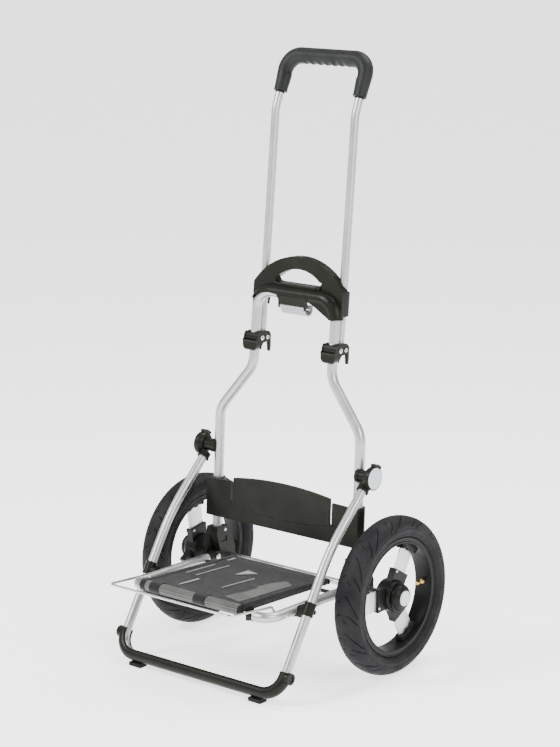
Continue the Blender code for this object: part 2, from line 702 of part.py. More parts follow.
def axle_bracket(side, tag):
    """Moulded foot of the upright: socket on top, axle bore below, cheek for the shelf pivot in front."""
    outline = [(-0.035, 0.206), (-0.005, 0.206), (0.004, 0.190), (0.0165, 0.160)]
    outline += arc((0, AXLE_Z), 0.0165, 20, -90, 6)
    outline += [(-0.040, 0.1345), *arc((SHELF_PIVOT_Y, SHELF_Z), 0.0130, 240, 150, 4), (-0.037, 0.172)]
    inner = LOWER_X - 0.0135
    outer = LOWER_X + 0.0130
    body = prism(outline, "x", inner, outer)
    left = inner - 0.01
    right = outer + 0.01
    room = (left, 0.1703)
    cuts = [
        rod((left, SHELF_PIVOT_Y, SHELF_Z), (room[1], SHELF_PIVOT_Y, SHELF_Z), KNUCKLE_ROOM, 24),
        prism(shelf_swing(), "x", *room),
        box(room, (-0.06, SHELF_PIVOT_Y + 0.008), (0.12, SHELF_Z - 0.004)),
        rod((left, SHELF_PIVOT_Y, SHELF_Z), (right, SHELF_PIVOT_Y, SHELF_Z), PIVOT_BORE_RADIUS),
        rod((left, 0, AXLE_Z), (right, 0, AXLE_Z), AXLE_RADIUS + GAP, FINE_RING),
        tube_room(LOWER_X, upright_y, UPRIGHT_FOOT_Z - GAP, 0.215, MAIN_RADIUS),
    ]
    solid(f"axle_bracket_{tag}", "black_plastic", [body], cuts, side=side)


def axle():
    left = (-AXLE_HALF_LENGTH, 0, AXLE_Z)
    right = (AXLE_HALF_LENGTH, 0, AXLE_Z)
    solid("axle", "steel", [rod(left, right, AXLE_RADIUS, MEDIUM_RING)])


def shelf_pivot(side, tag):
    profile = [
        (0.1478, 0),
        (0.1478, 0.0055),
        (0.1498, 0.0058),
        (0.1498, 0.0034),
        (0.1782, 0.0034),
        (0.1782, 0),
    ]
    bm = lathe(profile, (0, SHELF_PIVOT_Y, SHELF_Z), (1, 0, 0))
    solid(f"shelf_pivot_{tag}", "steel", [bm], side=side)


# ---------------------------------------------------------------- handle


def handle_origin():
    """Point on the slide axis, midway between the clamps."""
    return (0, handle_y(PIN_Z), PIN_Z)


def handle_tube():
    tube = sweep(handle_path(), HANDLE_RADIUS, HANDLE_RADIUS - WALL)
    solid("handle_tube", "aluminium", [tube], origin=handle_origin())


def hand_grip():
    """Soft grip, thin at its two ends and thickest along the top bar."""
    path = grip_path()
    count = len(path)
    radii = []
    for i in range(count):
        share = min(i, count - 1 - i) / ((count - 1) / 2)
        radii.append(0.0108 + 0.0042 * math.sin(min(1, share * 1.6) * math.pi / 2))
    grip = sweep(path, radii, HANDLE_RADIUS + BORE_GAP, BORE_RING)
    solid("hand_grip", "soft_grip", [grip], origin=handle_origin())


# ---------------------------------------------------------------- stand


def stand_origin():
    return (0, HINGE_Y, HINGE_Z)


def stand_tube():
    tube = sweep(leg_path(), LEG_RADIUS, LEG_RADIUS - WALL)
    solid("stand_tube", "aluminium", [tube], origin=stand_origin())


def foot_cover():
    """Gutter round the foot bar and up both corners, with a round boss at each end."""
    right = [tuple(leg_point(0.056)), tuple(FOOT_CORNER)]
    path = fillet(mirrored(right), [0.0359, 0.0359], 6)
    sleeve = sweep(path, COVER_FOOT_RADIUS, 0, 14)
    centre = leg_point(0.049)
    bosses = [rod((x, centre.y, centre.z), (x + reach, centre.y, centre.z), 0.0105, MEDIUM_RING)
              for x, reach in ((LEG_X, 0.0148), (-LEG_X, -0.0148))]
    bore = sweep(leg_path(), LEG_RADIUS + BORE_GAP, 0, BORE_RING)
    open_top = box((-0.150, 0.150), (-0.30, -0.23), (0.0245, 0.05))
    solid("foot_cover", "black_plastic", [sleeve, *bosses], [bore, open_top], stand_origin())


def foot_pad(side, tag):
    y = FOOT_CORNER.y
    top = FOOT_CORNER.z - COVER_FOOT_RADIUS - GAP
    outline = [(y - 0.009, 0), (y + 0.009, 0), (y + 0.0110, 0.003), (y + 0.0110, top), (y - 0.0110, top),
               (y - 0.0110, 0.003)]
    solid(f"foot_pad_{tag}", "tyre_rubber", [prism(outline, "x", PAD_X - 0.013, PAD_X + 0.013)],
          origin=stand_origin(), side=side)


def shelf_clip(side, tag):
    """Collar on the leg with an open-topped cradle for the shelf tube beside it."""
    middle = leg_point(SHELF_Z + 0.005)
    aim = (LEG_BEND - FOOT_CORNER).normalized()
    collar = rod(middle - aim * 0.012, middle + aim * 0.012, 0.0112, 18)
    outline = arc((SHELF_X, SHELF_Z), 0.0116, 170, 300, 7)
    root_x = LEG_X - 0.004
    outline += [(root_x, SHELF_Z - 0.010), (root_x, SHELF_Z + 0.008), (SHELF_X + 0.0090, SHELF_Z + 0.010)]
    arm = prism(outline, "y", middle.y - 0.008, middle.y + 0.008)
    channel = rod((SHELF_X, -0.30, SHELF_Z), (SHELF_X, 0, SHELF_Z), SHELF_RADIUS + BORE_GAP, BORE_RING)
    half = SHELF_RADIUS + GAP
    throat = box((SHELF_X - half, SHELF_X + half), (-0.30, 0), (SHELF_Z, SHELF_Z + 0.03))
    bore = rod(middle - aim * 0.03, middle + aim * 0.03, LEG_RADIUS + BORE_GAP, BORE_RING)
    cuts = [channel, throat, bore]
    solid(f"shelf_clip_{tag}", "black_plastic", [collar, arm], cuts, stand_origin(), side)


# ---------------------------------------------------------------- shelf


def shelf_origin():
    return (0, SHELF_PIVOT_Y, SHELF_Z)


def shelf_tube(side, tag):
    """J-shaped tube from the pivot to the front corner of the tray, pierced for the bail's end."""
    tube = sweep(shelf_path(), SHELF_RADIUS, SHELF_RADIUS - WALL)
    inner = (SHELF_X - 0.02, BAIL_PIVOT_Y, SHELF_Z)
    outer = (SHELF_X + 0.02, BAIL_PIVOT_Y, SHELF_Z)
    hole = rod(inner, outer, BAIL_RADIUS + GAP)
    solid(f"shelf_tube_{tag}", "aluminium", [tube], [hole], shelf_origin(), side)


def shelf_end(side, tag):
    """Plug, collar and pivot knuckle at the rear end of the shelf tube."""
    pivot_y = SHELF_PIVOT_Y
    plug = rod((SHELF_X, SHELF_REAR_Y - 0.016, SHELF_Z), (SHELF_X, pivot_y - 0.008, SHELF_Z), PLUG_RADIUS)
    front = (SHELF_X, SHELF_REAR_Y + GAP, SHELF_Z)
    collar = rod(front, (SHELF_X, pivot_y - 0.004, SHELF_Z), SHELF_COLLAR_RADIUS, MEDIUM_RING)
    knuckle = rod((0.1513, pivot_y, SHELF_Z), (0.1700, pivot_y, SHELF_Z), 0.0104, FINE_RING)
    bore = rod((0.14, pivot_y, SHELF_Z), (0.18, pivot_y, SHELF_Z), PIVOT_BORE_RADIUS)
    solid(f"shelf_end_{tag}", "black_plastic", [collar, plug, knuckle], [bore], shelf_origin(), side)


def shelf_saddle(side, tag):
    """Plug and block that join the front end of the shelf tube to the tray."""
    y = SHELF_FRONT_Y
    plug = rod((SHELF_INNER_X + 0.004, y, SHELF_Z), (SHELF_INNER_X - 0.004, y, SHELF_Z), PLUG_RADIUS)
    collar = rod((SHELF_INNER_X - GAP, y, SHELF_Z), (0.1175, y, SHELF_Z), SHELF_COLLAR_RADIUS, MEDIUM_RING)
    height = (SHELF_Z - 0.0085, SHELF_Z + 0.0120)
    block = box((TRAY_HALF_WIDTH + GAP, 0.1215), (y - 0.008, y + 0.008), height)
    solid(f"shelf_saddle_{tag}", "black_plastic", [collar, plug, block], (), shelf_origin(), side)


def slab(outline, x, reach):
    """Outline given in (y, z), extruded from x by reach, which may be negative."""
    return prism(outline, "x", *sorted((x, x + reach)))


def tray_frame():
    """Side rails, front rod, rear bar, a middle web and a cross bar that reaches the shelf tubes."""
    under = SHEET + GAP
    outline = [
        (TRAY_ROD_Y + 0.002, TRAY_ROD_Z - 0.006),
        (TRAY_REAR_Y, TRAY_REAR_Z - 0.005),
        (TRAY_REAR_Y, tray_z(TRAY_REAR_Y) - under - 0.0002),
        (TRAY_ROD_Y + 0.002, tray_z(TRAY_ROD_Y) - under - 0.0008),
    ]
    rails = [slab(outline, 0.105, 0.008), slab(outline, -0.105, -0.008)]
    half = TRAY_HALF_WIDTH + GAP
    cap = half + 0.0022
    profile = [
        (-cap, 0),
        (-cap, 0.0078),
        (-half, 0.0088),
        (-half, TRAY_ROD_RADIUS),
        (half, TRAY_ROD_RADIUS),
        (half, 0.0088),
        (cap, 0.0078),
        (cap, 0),
    ]
    front = lathe(profile, (0, TRAY_ROD_Y, TRAY_ROD_Z), (1, 0, 0), MEDIUM_RING)
    rear = rod((-0.110, TRAY_REAR_Y, TRAY_REAR_Z), (0.110, TRAY_REAR_Y, TRAY_REAR_Z), TRAY_REAR_RADIUS)
    reach = SHELF_X - SHELF_RADIUS - GAP
    cross_y = -0.066
    cross = box((-reach, reach), (cross_y - 0.004, cross_y + 0.004), (SHELF_Z - 0.004, SHELF_Z + 0.0005))
    web_y = -0.162
    web_z = tray_z(web_y)
    web = box((-0.112, 0.112), (web_y - 0.004, web_y + 0.004), (web_z - 0.0080, web_z - 0.0030))
    solid("tray_frame", "black_plastic", [rails[0], front, rear, rails[1], cross, web], (), shelf_origin())


def hem(y, z, inside, segments):
    """Tube of cloth round a bar, as wide as the tray."""
    half = TRAY_HALF_WIDTH
    outside = inside + SHEET
    profile = [(-half, inside), (-half, outside), (half, outside), (half, inside)]
    return lathe(profile, (0, y, z), (1, 0, 0), segments)


def tray_fabric():
    """Woven cover: flat top, a hem round front rod and rear bar, and a turned-down edge each side."""
    half = TRAY_HALF_WIDTH
    front_y = TRAY_ROD_Y
    rear_y = TRAY_REAR_Y
    outline = [
        (front_y, tray_z(front_y) - SHEET),
        (rear_y, tray_z(rear_y) - SHEET),
        (rear_y, tray_z(rear_y)),
        (front_y, tray_z(front_y)),
    ]
    top = prism(outline, "x", -half, half)
    front_hem = hem(front_y, TRAY_ROD_Z, TRAY_ROD_RADIUS + GAP, 18)
    rear_hem = hem(rear_y, TRAY_REAR_Z, TRAY_REAR_RADIUS + GAP, BORE_RING)
    skirt_y = front_y + 0.0085
    skirt_outline = [
        (skirt_y, tray_z(front_y) - 0.0130),
        (rear_y, tray_z(rear_y) - 0.0100),
        (rear_y, tray_z(rear_y) - 0.0004),
        (skirt_y, tray_z(skirt_y) - 0.0004),
    ]
    skirts = [slab(skirt_outline, half, -0.0015), slab(skirt_outline, -half, 0.0015)]
    notches = []
    for rail in ((0.1047, 0.1133), (-0.1133, -0.1047)):
        notches.append(box(rail, (front_y, front_y + 0.02), (0.150, tray_z(front_y) - SHEET - 0.0002)))
        notches.append(box(rail, (rear_y - 0.012, rear_y), (0.145, tray_z(rear_y) - SHEET - 0.0002)))
    solid("tray_fabric", "woven_fabric", [top, front_hem, rear_hem, *skirts], notches, shelf_origin())


def wire_bail():
    right = [
        (SHELF_X + 0.014, BAIL_PIVOT_Y, SHELF_Z),
        (SHELF_X - 0.0135, BAIL_PIVOT_Y, SHELF_Z),
        (SHELF_X - 0.0135, -0.233, 0.1640),
        (0.1420, -0.337, 0.1725),
    ]
    bends = [0.0045, 0.006, 0.011]
    path = fillet(mirrored(right), bends + bends[::-1], 4)
    solid("wire_bail", "steel", [sweep(path, BAIL_RADIUS)], origin=(0, BAIL_PIVOT_Y, SHELF_Z))


# ---------------------------------------------------------------- wheels


def wheel_centre():
    return (WHEEL_X, 0, AXLE_Z)


def wheel_turn(bm, degrees):
    """Turn a shape made along +Y to its place round the wheel."""
    turn = Matrix.Rotation(math.radians(degrees), 4, "X")
    bmesh.ops.transform(bm, matrix=Matrix.Translation(wheel_centre()) @ turn, verts=bm.verts)
    return bm


def tyre(side, tag):
    """Hollow tyre, open at the bead, which sits between the rim's flanges."""
    shoulder = [
        (0.0150, BEAD_RADIUS),
        (0.0150, 0.1088),
        (0.0210, 0.1110),
        (TYRE_HALF_WIDTH, 0.1230),
        (0.0200, 0.1380),
    ]
    lining = [(0.0112, BEAD_RADIUS), (0.0112, 0.1090), (0.0205, 0.1230), (0.0155, 0.1350)]
    outside = shoulder + [(0, WHEEL_RADIUS)] + [(-x, r) for x, r in reversed(shoulder)]
    inside = lining + [(0, 0.1410)] + [(-x, r) for x, r in reversed(lining)]
    bm = lathe(outside + inside[::-1], wheel_centre(), (1, 0, 0), WHEEL_SEGMENTS)
    solid(f"tyre_{tag}", "tyre_rubber", [bm], origin=wheel_centre(), side=side)


def rim(side, tag):
    """Barrel with two flanges, and a cradle inside it for each spoke."""
    edge = RIM_HALF_WIDTH
    groove = RIM_GROOVE_HALF_WIDTH
    floor = BEAD_RADIUS - 0.0007
    profile = [
        (-edge, BARREL_RADIUS),
        (edge, BARREL_RADIUS),
        (edge, FLANGE_RADIUS),
        (groove, FLANGE_RADIUS),
        (groove, floor),
        (-groove, floor),
        (-groove, FLANGE_RADIUS),
        (-edge, FLANGE_RADIUS),
    ]
    barrel = lathe(profile, wheel_centre(), (1, 0, 0), WHEEL_SEGMENTS)
    cradles = []
    slots = []
    for degrees in SPOKE_ANGLES[side]:
        cradles.append(wheel_turn(box((-0.0080, 0.0080), (0.0850, 0.0985), (-0.0220, 0.0220)), degrees))
        slots.append(wheel_turn(spoke_box(GAP), degrees))
    solid(f"rim_{tag}", "black_plastic", [barrel, *cradles], slots, wheel_centre(), side)


def spoke_box(spare):
    """Flat spoke along +Y from hub to rim, widened by the given spare."""
    thick = SPOKE_HALF_THICK + spare
    wide = SPOKE_HALF_WIDTH + spare
    return box((-thick, thick), (0.0330 - spare, 0.0950 + spare), (-wide, wide))


def hub(side, tag):
    """Hub body on the axle with a collar for each spoke."""
    bore = AXLE_RADIUS + GAP
    profile = [
        (-0.0190, 0.0150),
        (-0.0150, HUB_RADIUS),
        (0.0110, HUB_RADIUS),
        (HUB_OUT, 0.0262),
        (HUB_OUT, bore),
        (-0.0190, bore),
    ]
    body = lathe(profile, wheel_centre(), (1, 0, 0), 18)
    collars = []
    slots = []
    for degrees in SPOKE_ANGLES[side]:
        collars.append(wheel_turn(box((-0.0065, 0.0065), (0.0200, 0.0460), (-0.0215, 0.0215)), degrees))
        slots.append(wheel_turn(spoke_box(GAP), degrees))
    solid(f"hub_{tag}", "black_plastic", [body, *collars], slots, wheel_centre(), side)


def spoke(side, tag, number):
    degrees = SPOKE_ANGLES[side][number - 1]
    bm = wheel_turn(spoke_box(0), degrees)
    solid(f"spoke_{tag}_{number}", "aluminium", [bm], origin=wheel_centre(), side=side)


def hub_cap(side, tag):
    """Domed cap with a round recess for the release button."""
    recess = WHEEL_BUTTON_RADIUS + GAP
    bore = AXLE_RADIUS + 0.0012
    profile = [
        (HUB_OUT + GAP, bore),
        (HUB_OUT + GAP, CAP_RADIUS),
        (0.0220, 0.0240),
        (0.0275, 0.0210),
        (CAP_OUT, 0.0160),
        (CAP_OUT, recess),
        (CAP_FLOOR, recess),
        (CAP_FLOOR, bore),
    ]
    bm = lathe(profile, wheel_centre(), (1, 0, 0), MEDIUM_RING)
    solid(f"hub_cap_{tag}", "black_plastic", [bm], origin=wheel_centre(), side=side)


def wheel_button(side, tag):
    profile = [
        (0.0285, 0),
        (0.0285, WHEEL_BUTTON_RADIUS),
        (WHEEL_BUTTON_OUT - 0.0006, WHEEL_BUTTON_RADIUS),
        (WHEEL_BUTTON_OUT, WHEEL_BUTTON_RADIUS - 0.0008),
        (WHEEL_BUTTON_OUT, 0),
    ]
    bm = lathe(profile, wheel_centre(), (1, 0, 0), MEDIUM_RING)
    solid(f"wheel_button_{tag}", "grey_plastic", [bm], origin=wheel_centre(), side=side)


def valve(side, tag):
    """Air valve that points in from the barrel."""
    root = BARREL_RADIUS - 0.0012
    profile = [
        (0, 0),
        (0, 0.0046),
        (0.0030, 0.0046),
        (0.0030, 0.0030),
        (0.0120, 0.0028),
        (0.0120, 0.0038),
        (0.0190, 0.0034),
        (0.0190, 0),
    ]
    bm = lathe([(root - along, radius) for along, radius in profile], (0, 0, 0), (0, 1, 0), 10)
    solid(f"valve_{tag}", "brass", [wheel_turn(bm, VALVE_ANGLE[side])], origin=wheel_centre(), side=side)


def wheel(side, tag):
    tyre(side, tag)
    rim(side, tag)
    hub(side, tag)
    for number in (1, 2, 3):
        spoke(side, tag, number)
    hub_cap(side, tag)
    wheel_button(side, tag)
    valve(side, tag)


# ---------------------------------------------------------------- everything


def build():
    clear_scene()
    main_frame_tube()
    cross_panel()
    carry_bracket()
    hook_pin()
    cart_hook()
    axle()
    handle_tube()
    hand_grip()
    stand_tube()
    foot_cover()
    tray_frame()
    tray_fabric()
    wire_bail()
    upper_parts = (clamp_body, clamp_bolt, cam_pin, clamp_lever, hinge_boss, leg_socket, hinge_button)
    lower_parts = (axle_bracket, shelf_pivot, foot_pad, shelf_clip, shelf_tube, shelf_end, shelf_saddle)
    for side, tag in ((1, "right"), (-1, "left")):
        for sided_part in upper_parts + lower_parts:
            sided_part(side, tag)
        wheel(side, tag)


build()
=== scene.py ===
"""Looks of the folding hand truck: fine surfaces, materials, floor, lights and camera."""

import math

import bmesh
import bpy
from mathutils import Matrix, Vector


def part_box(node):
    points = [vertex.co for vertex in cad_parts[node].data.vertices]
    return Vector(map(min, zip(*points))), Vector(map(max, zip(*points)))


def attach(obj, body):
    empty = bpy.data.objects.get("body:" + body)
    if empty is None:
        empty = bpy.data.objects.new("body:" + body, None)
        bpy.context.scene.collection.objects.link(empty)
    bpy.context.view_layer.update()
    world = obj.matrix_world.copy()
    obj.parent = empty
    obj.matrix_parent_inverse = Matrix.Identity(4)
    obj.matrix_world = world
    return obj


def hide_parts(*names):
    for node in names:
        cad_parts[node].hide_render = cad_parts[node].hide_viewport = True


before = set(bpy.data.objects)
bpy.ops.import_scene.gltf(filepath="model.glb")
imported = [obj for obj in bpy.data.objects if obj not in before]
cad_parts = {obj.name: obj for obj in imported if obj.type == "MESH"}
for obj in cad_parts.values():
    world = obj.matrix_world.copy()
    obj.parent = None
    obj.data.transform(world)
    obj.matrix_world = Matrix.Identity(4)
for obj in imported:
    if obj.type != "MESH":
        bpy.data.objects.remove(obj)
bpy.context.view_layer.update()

AXLE_Y = (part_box("axle")[0].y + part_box("axle")[1].y) / 2
GAP = 0.0003
ROUND = 32
FINE_ROUND = 48
EDGE = 0.0006
DULL_SPECULAR = 0.12
SMOOTH_ANGLE = math.radians(38)
CREASE_ANGLE = math.radians(50)
WELD_DISTANCE = 0.00002
SIDES = ((1, "right"), (-1, "left"))

# The same driving dimensions as the frame's, in metres, with y = 0 on the axle.
WHEEL_RADIUS = 0.145
WHEEL_X = 0.2298
TYRE_HALF_WIDTH = 0.025
BEAD_RADIUS = 0.1084
BARREL_RADIUS = 0.0975
RIM_HALF_WIDTH = 0.0185
HUB_RADIUS = 0.029
HUB_OUT = 0.015
CAP_RADIUS = 0.0244
CAP_OUT = 0.031
CAP_FLOOR = 0.0262
WHEEL_BUTTON_RADIUS = 0.0137
WHEEL_BUTTON_OUT = 0.0322
SPOKE_HALF_WIDTH = 0.019
SPOKE_HALF_THICK = 0.002
SPOKE_ROOT = 0.0335
SPOKE_LENGTH = 0.0613
SPOKE_ANGLES = {1: (60, 180, 300), -1: (100, 220, 340)}
VALVE_ANGLE = {1: 2, -1: 40}
AXLE_Z = WHEEL_RADIUS
AXLE_RADIUS = 0.006
AXLE_HALF_LENGTH = 0.2535
TUBE_WALL = 0.0015
MAIN_RADIUS = 0.00925
LOWER_X = 0.1655
UPPER_X = 0.0915
BEND_Z = 0.434
BEND_Y = -0.0086
LOWER_LEAN = 0.049
UPPER_LEAN = 0.098
UPRIGHT_FOOT_Z = 0.192
FLARE_LOW_Z = 0.431
FLARE_HIGH_Z = 0.5215
ARCH_Z = 0.661
ARCH_CORNER = 0.034
HANDLE_RADIUS = 0.0075
HANDLE_BEHIND = 0.0182
HANDLE_FOOT_Z = 0.5635
HANDLE_BEND_Z = 0.988
HANDLE_TOP_Z = 1.083
HANDLE_TOP_TILT = math.radians(22)
HANDLE_TOP_LEAN = math.tan(HANDLE_TOP_TILT)
HANDLE_CORNER = 0.03
GRIP_END_Z = 1.019
GRIP_THIN = 0.0116
GRIP_SWELL = 0.0034
FINGER_PITCH = 0.0165
FINGERS_HALF_LENGTH = 0.056
PIN_Z = 0.574
CLAMP_HALF_WIDTH = 0.013
CLAMP_NOSE = 0.0128
LEVER_INNER = 0.0134
LEVER_OUTER = 0.0166
BRACKET_HALF_WIDTH = 0.1035
BRACKET_SIDE_Z = 0.676
BRACKET_TOP_Z = 0.73
BRACKET_LOW_Z = 0.632
HOLE_HALF_WIDTH = 0.054
HOLE_LOW_Z = 0.68
HOLE_TOP_Z = 0.7075
PLATE_FRONT = 0.0135
PLATE_BACK = 0.03
BRACKET_LEAN_Z = 0.655
COVER_RADIUS = 0.0148
HOOK_HALF_WIDTH = 0.028
HOOK_RADIUS = 0.0118
HOOK_PIN_Y = 0.002
HOOK_PIN_Z = 0.6405
PANEL_LOW_Z = 0.2292
PANEL_SIDE_Z = 0.3
PANEL_TOP_Z = 0.3175
PANEL_CROWN_Z = 0.309
PANEL_HALF_WIDTH = 0.1788
PANEL_FRONT = -0.0345
PANEL_BACK = -0.029
SLIT_X = 0.117
SLIT_WIDTH = 0.0055
SLIT_FOOT_Z = 0.262
SLEEVE_RADIUS = 0.0133
HINGE_Y = -0.0187
HINGE_Z = 0.3597
BOSS_RADIUS = 0.0115
DISC_RADIUS = 0.0215
DISC_IN = 0.1962
DISC_OUT = 0.206
BUTTON_RADIUS = 0.0194
BUTTON_OUT = 0.2068
LEG_X = 0.1885
LEG_RADIUS = 0.00825
SOCKET_MOUTH = Vector((LEG_X, -0.0338, 0.3367))
SOCKET_AIM = Vector((0, -0.7193, -0.6947))
LEG_BEND = Vector((LEG_X, -0.1253, 0.2484))
FOOT_CORNER = Vector((LEG_X, -0.2663, 0.02))
FOOT_CORNER_RADIUS = 0.036
COVER_FOOT_RADIUS = 0.0117
PAD_X = 0.142
SHELF_X = 0.16
SHELF_Z = 0.1505
SHELF_RADIUS = 0.009
SHELF_FRONT_Y = -0.258
SHELF_REAR_Y = -0.056
SHELF_PIVOT_Y = -0.036
SHELF_CORNER = 0.026
SHELF_INNER_X = 0.129
TRAY_HALF_WIDTH = 0.1148
TRAY_ROD_Y = -0.279
TRAY_ROD_Z = 0.1635
TRAY_ROD_RADIUS = 0.0075
TRAY_REAR_Y = -0.036
TRAY_REAR_Z = 0.1545
TRAY_REAR_RADIUS = 0.0045
SHEET = 0.0016
COVER_THICKNESS = 0.0011
PATCH_LIFT = 0.0001
PATCH_THICKNESS = 0.0003
HEM_MESHES = ((-0.103, -0.093), (-0.068, 0.011), (0.04, 0.114))
HEM_LOOPS = ((-0.1146, -0.1035), (-0.092, -0.069), (0.012, 0.039))
BAIL_RADIUS = 0.00225
BAIL_PIVOT_Y = -0.224

# Studio. Each lamp: name, place, target, diameter and power.
CAMERA_PLACE = (2.577, -3.0375, 1.421)
CAMERA_TARGET = (0.393, -0.4099, 0.661)
LENS = 110.3
FLOOR_GLOW = 1.7
SKY_STRENGTH = 0.8
LAMPS = (
    ("key", (-1.4, -2.4, 2.8), (0, 0, 0.4), 1.1, 150),
    ("fill", (2.6, -0.6, 1.9), (0, 0, 0.4), 1.3, 60),
    ("top", (0.4, 1.2, 3.0), (0, 0, 0.5), 1.5, 80),
)

# Tyre tread
TYRE_SEGMENTS = 1080
TREAD_REPEATS = 13
GROOVE_DEPTH = 0.0028
# Each groove: where it starts and ends from the crown, its start, turn and bend round the tyre in pitches,
# its half width and its share of the full depth.
GROOVES = (
    (0.0015, 0.034, 0.00, 0.66, 1.7, 0.0019, 1.0),
    (0.01, 0.033, 0.5, 0.34, 1.5, 0.0017, 1.0),
    (0.003, 0.013, 0.64, 0.09, 1.0, 0.0015, 0.9),
)


# ---------------------------------------------------------------- materials


def link(tree, source, out, target, into):
    """Join one node's output socket to another's input socket."""
    tree.links.new(source.outputs[out], target.inputs[into])


def node(tree, kind, settings=None, **inputs):
    """New shader node. An underscore in an input's name stands for a space."""
    made = tree.nodes.new(kind)
    for key, value in (settings or {}).items():
        setattr(made, key, value)
    for key, value in inputs.items():
        made.inputs[key.replace("_", " ")].default_value = value
    return made


def base_material(name, colour, roughness, metallic=0.0):
    """Plain material: its Principled shader is left for the caller to vary."""
    made = bpy.data.materials.new(name)
    made.use_nodes = True
    shader = made.node_tree.nodes["Principled BSDF"]
    shader.inputs["Base Color"].default_value = (*colour, 1)
    shader.inputs["Roughness"].default_value = roughness
    shader.inputs["Metallic"].default_value = metallic
    if not metallic:
        shader.inputs["Specular IOR Level"].default_value = DULL_SPECULAR
    return made, made.node_tree, shader


def noise_field(tree, scale, detail=3.0):
    """Noise over the object's own coordinates."""
    coords = tree.nodes.new("ShaderNodeTexCoord")
    field = node(tree, "ShaderNodeTexNoise", Scale=scale, Detail=detail)
    link(tree, coords, "Object", field, "Vector")
    return field


def ranged(tree, field, low, high):
    """The middle range of a noise field, stretched to run from low to high."""
    ramp = node(tree, "ShaderNodeMapRange", None, From_Min=0.3, From_Max=0.7, To_Min=low, To_Max=high)
    link(tree, field, "Fac", ramp, "Value")
    return ramp


def vary_roughness(tree, shader, scale, low, high):
    field = noise_field(tree, scale, 5.0)
    link(tree, ranged(tree, field, low, high), "Result", shader, "Roughness")


def vary_colour(tree, shader, scale, dark, light, detail=6.0):
    """Mix two colours by noise. Returns the mix, so that more can be laid over it."""
    share = ranged(tree, noise_field(tree, scale, detail), 0.0, 1.0)
    mix = node(tree, "ShaderNodeMix", {"data_type": "RGBA"})
    mix.inputs["A"].default_value = (*dark, 1)
    mix.inputs["B"].default_value = (*light, 1)
    link(tree, share, "Result", mix, "Factor")
    link(tree, mix, "Result", shader, "Base Color")
    return mix


def bump(tree, shader, height, out, strength, distance):
    """Add a bump to the surface, over any bump that it already has."""
    made = node(tree, "ShaderNodeBump", None, Strength=strength, Distance=distance)
    link(tree, height, out, made, "Height")
    if shader.inputs["Normal"].is_linked:
        before = shader.inputs["Normal"].links[0].from_socket
        tree.links.new(before, made.inputs["Normal"])
    link(tree, made, "Normal", shader, "Normal")


def noise_bump(tree, shader, scale, detail, strength, distance):
    bump(tree, shader, noise_field(tree, scale, detail), "Fac", strength, distance)


def metal(name, colour, low, high, grain):
    """Satin metal: fine drawn grain, faint cloudiness and a few rubbed spots."""
    made, tree, shader = base_material(name, colour, low, 1.0)
    vary_roughness(tree, shader, 38, low, high)
    vary_colour(tree, shader, 14, tuple(c * 0.9 for c in colour), colour)
    noise_bump(tree, shader, grain, 4.0, 0.1, 0.00015)
    noise_bump(tree, shader, 90, 2.0, 0.04, 0.0008)
    return made


def moulded(name, dark, light, low, high, grain=1500, depth=0.16):
    """Injection-moulded plastic: fine spark-eroded grain, slight shine variation, faint dust."""
    made, tree, shader = base_material(name, dark, low)
    vary_colour(tree, shader, 22, dark, light)
    vary_roughness(tree, shader, 60, low, high)
    noise_bump(tree, shader, grain, 3.0, depth, 0.0003)
    noise_bump(tree, shader, 70, 2.0, 0.05, 0.001)
    return made


def rubber(name, dark, light, low, high, grain=900):
    """Rubber: dull, dusty in patches, with a slightly uneven skin."""
    made, tree, shader = base_material(name, dark, low)
    vary_colour(tree, shader, 30, dark, light, 8.0)
    vary_roughness(tree, shader, 45, low, high)
    noise_bump(tree, shader, grain, 5.0, 0.22, 0.0004)
    noise_bump(tree, shader, 160, 3.0, 0.12, 0.0007)
    return made


def weave(name, dark, light, pitch, low, high, contrast=1.0):
    """Plain weave of coated yarn: bands along X and Y that pass over and under each other."""
    made, tree, shader = base_material(name, dark, low)
    coords = tree.nodes.new("ShaderNodeTexCoord")
    bands = []
    for direction in ("X", "Y"):
        wave = node(tree, "ShaderNodeTexWave", {"bands_direction": direction}, Scale=math.pi / (10 * pitch),
                    Distortion=0.35, Detail=2.0)
        link(tree, coords, "Object", wave, "Vector")
        bands.append(wave)
    checker = node(tree, "ShaderNodeTexChecker", None, Scale=1 / pitch)
    link(tree, coords, "Object", checker, "Vector")
    height = node(tree, "ShaderNodeMix", {"data_type": "FLOAT"})
    link(tree, checker, "Fac", height, "Factor")
    link(tree, bands[0], "Fac", height, "A")
    link(tree, bands[1], "Fac", height, "B")
    cloudy = vary_colour(tree, shader, 26, dark, tuple((a + b) / 2 for a, b in zip(dark, light)))
    lift = node(tree, "ShaderNodeMix", {"data_type": "RGBA"})
    lift.inputs["B"].default_value = (*light, 1)
    amount = node(tree, "ShaderNodeMapRange", None, From_Min=0.35, From_Max=1.0, To_Min=0.0,
                  To_Max=contrast)
    link(tree, height, "Result", amount, "Value")
    link(tree, amount, "Result", lift, "Factor")
    link(tree, cloudy, "Result", lift, "A")
    link(tree, lift, "Result", shader, "Base Color")
    vary_roughness(tree, shader, 50, low, high)
    bump(tree, shader, height, "Result", 0.5, 0.0005)
    shader.inputs["Sheen Weight"].default_value = 0.15
    shader.inputs["Sheen Roughness"].default_value = 0.4
    return made


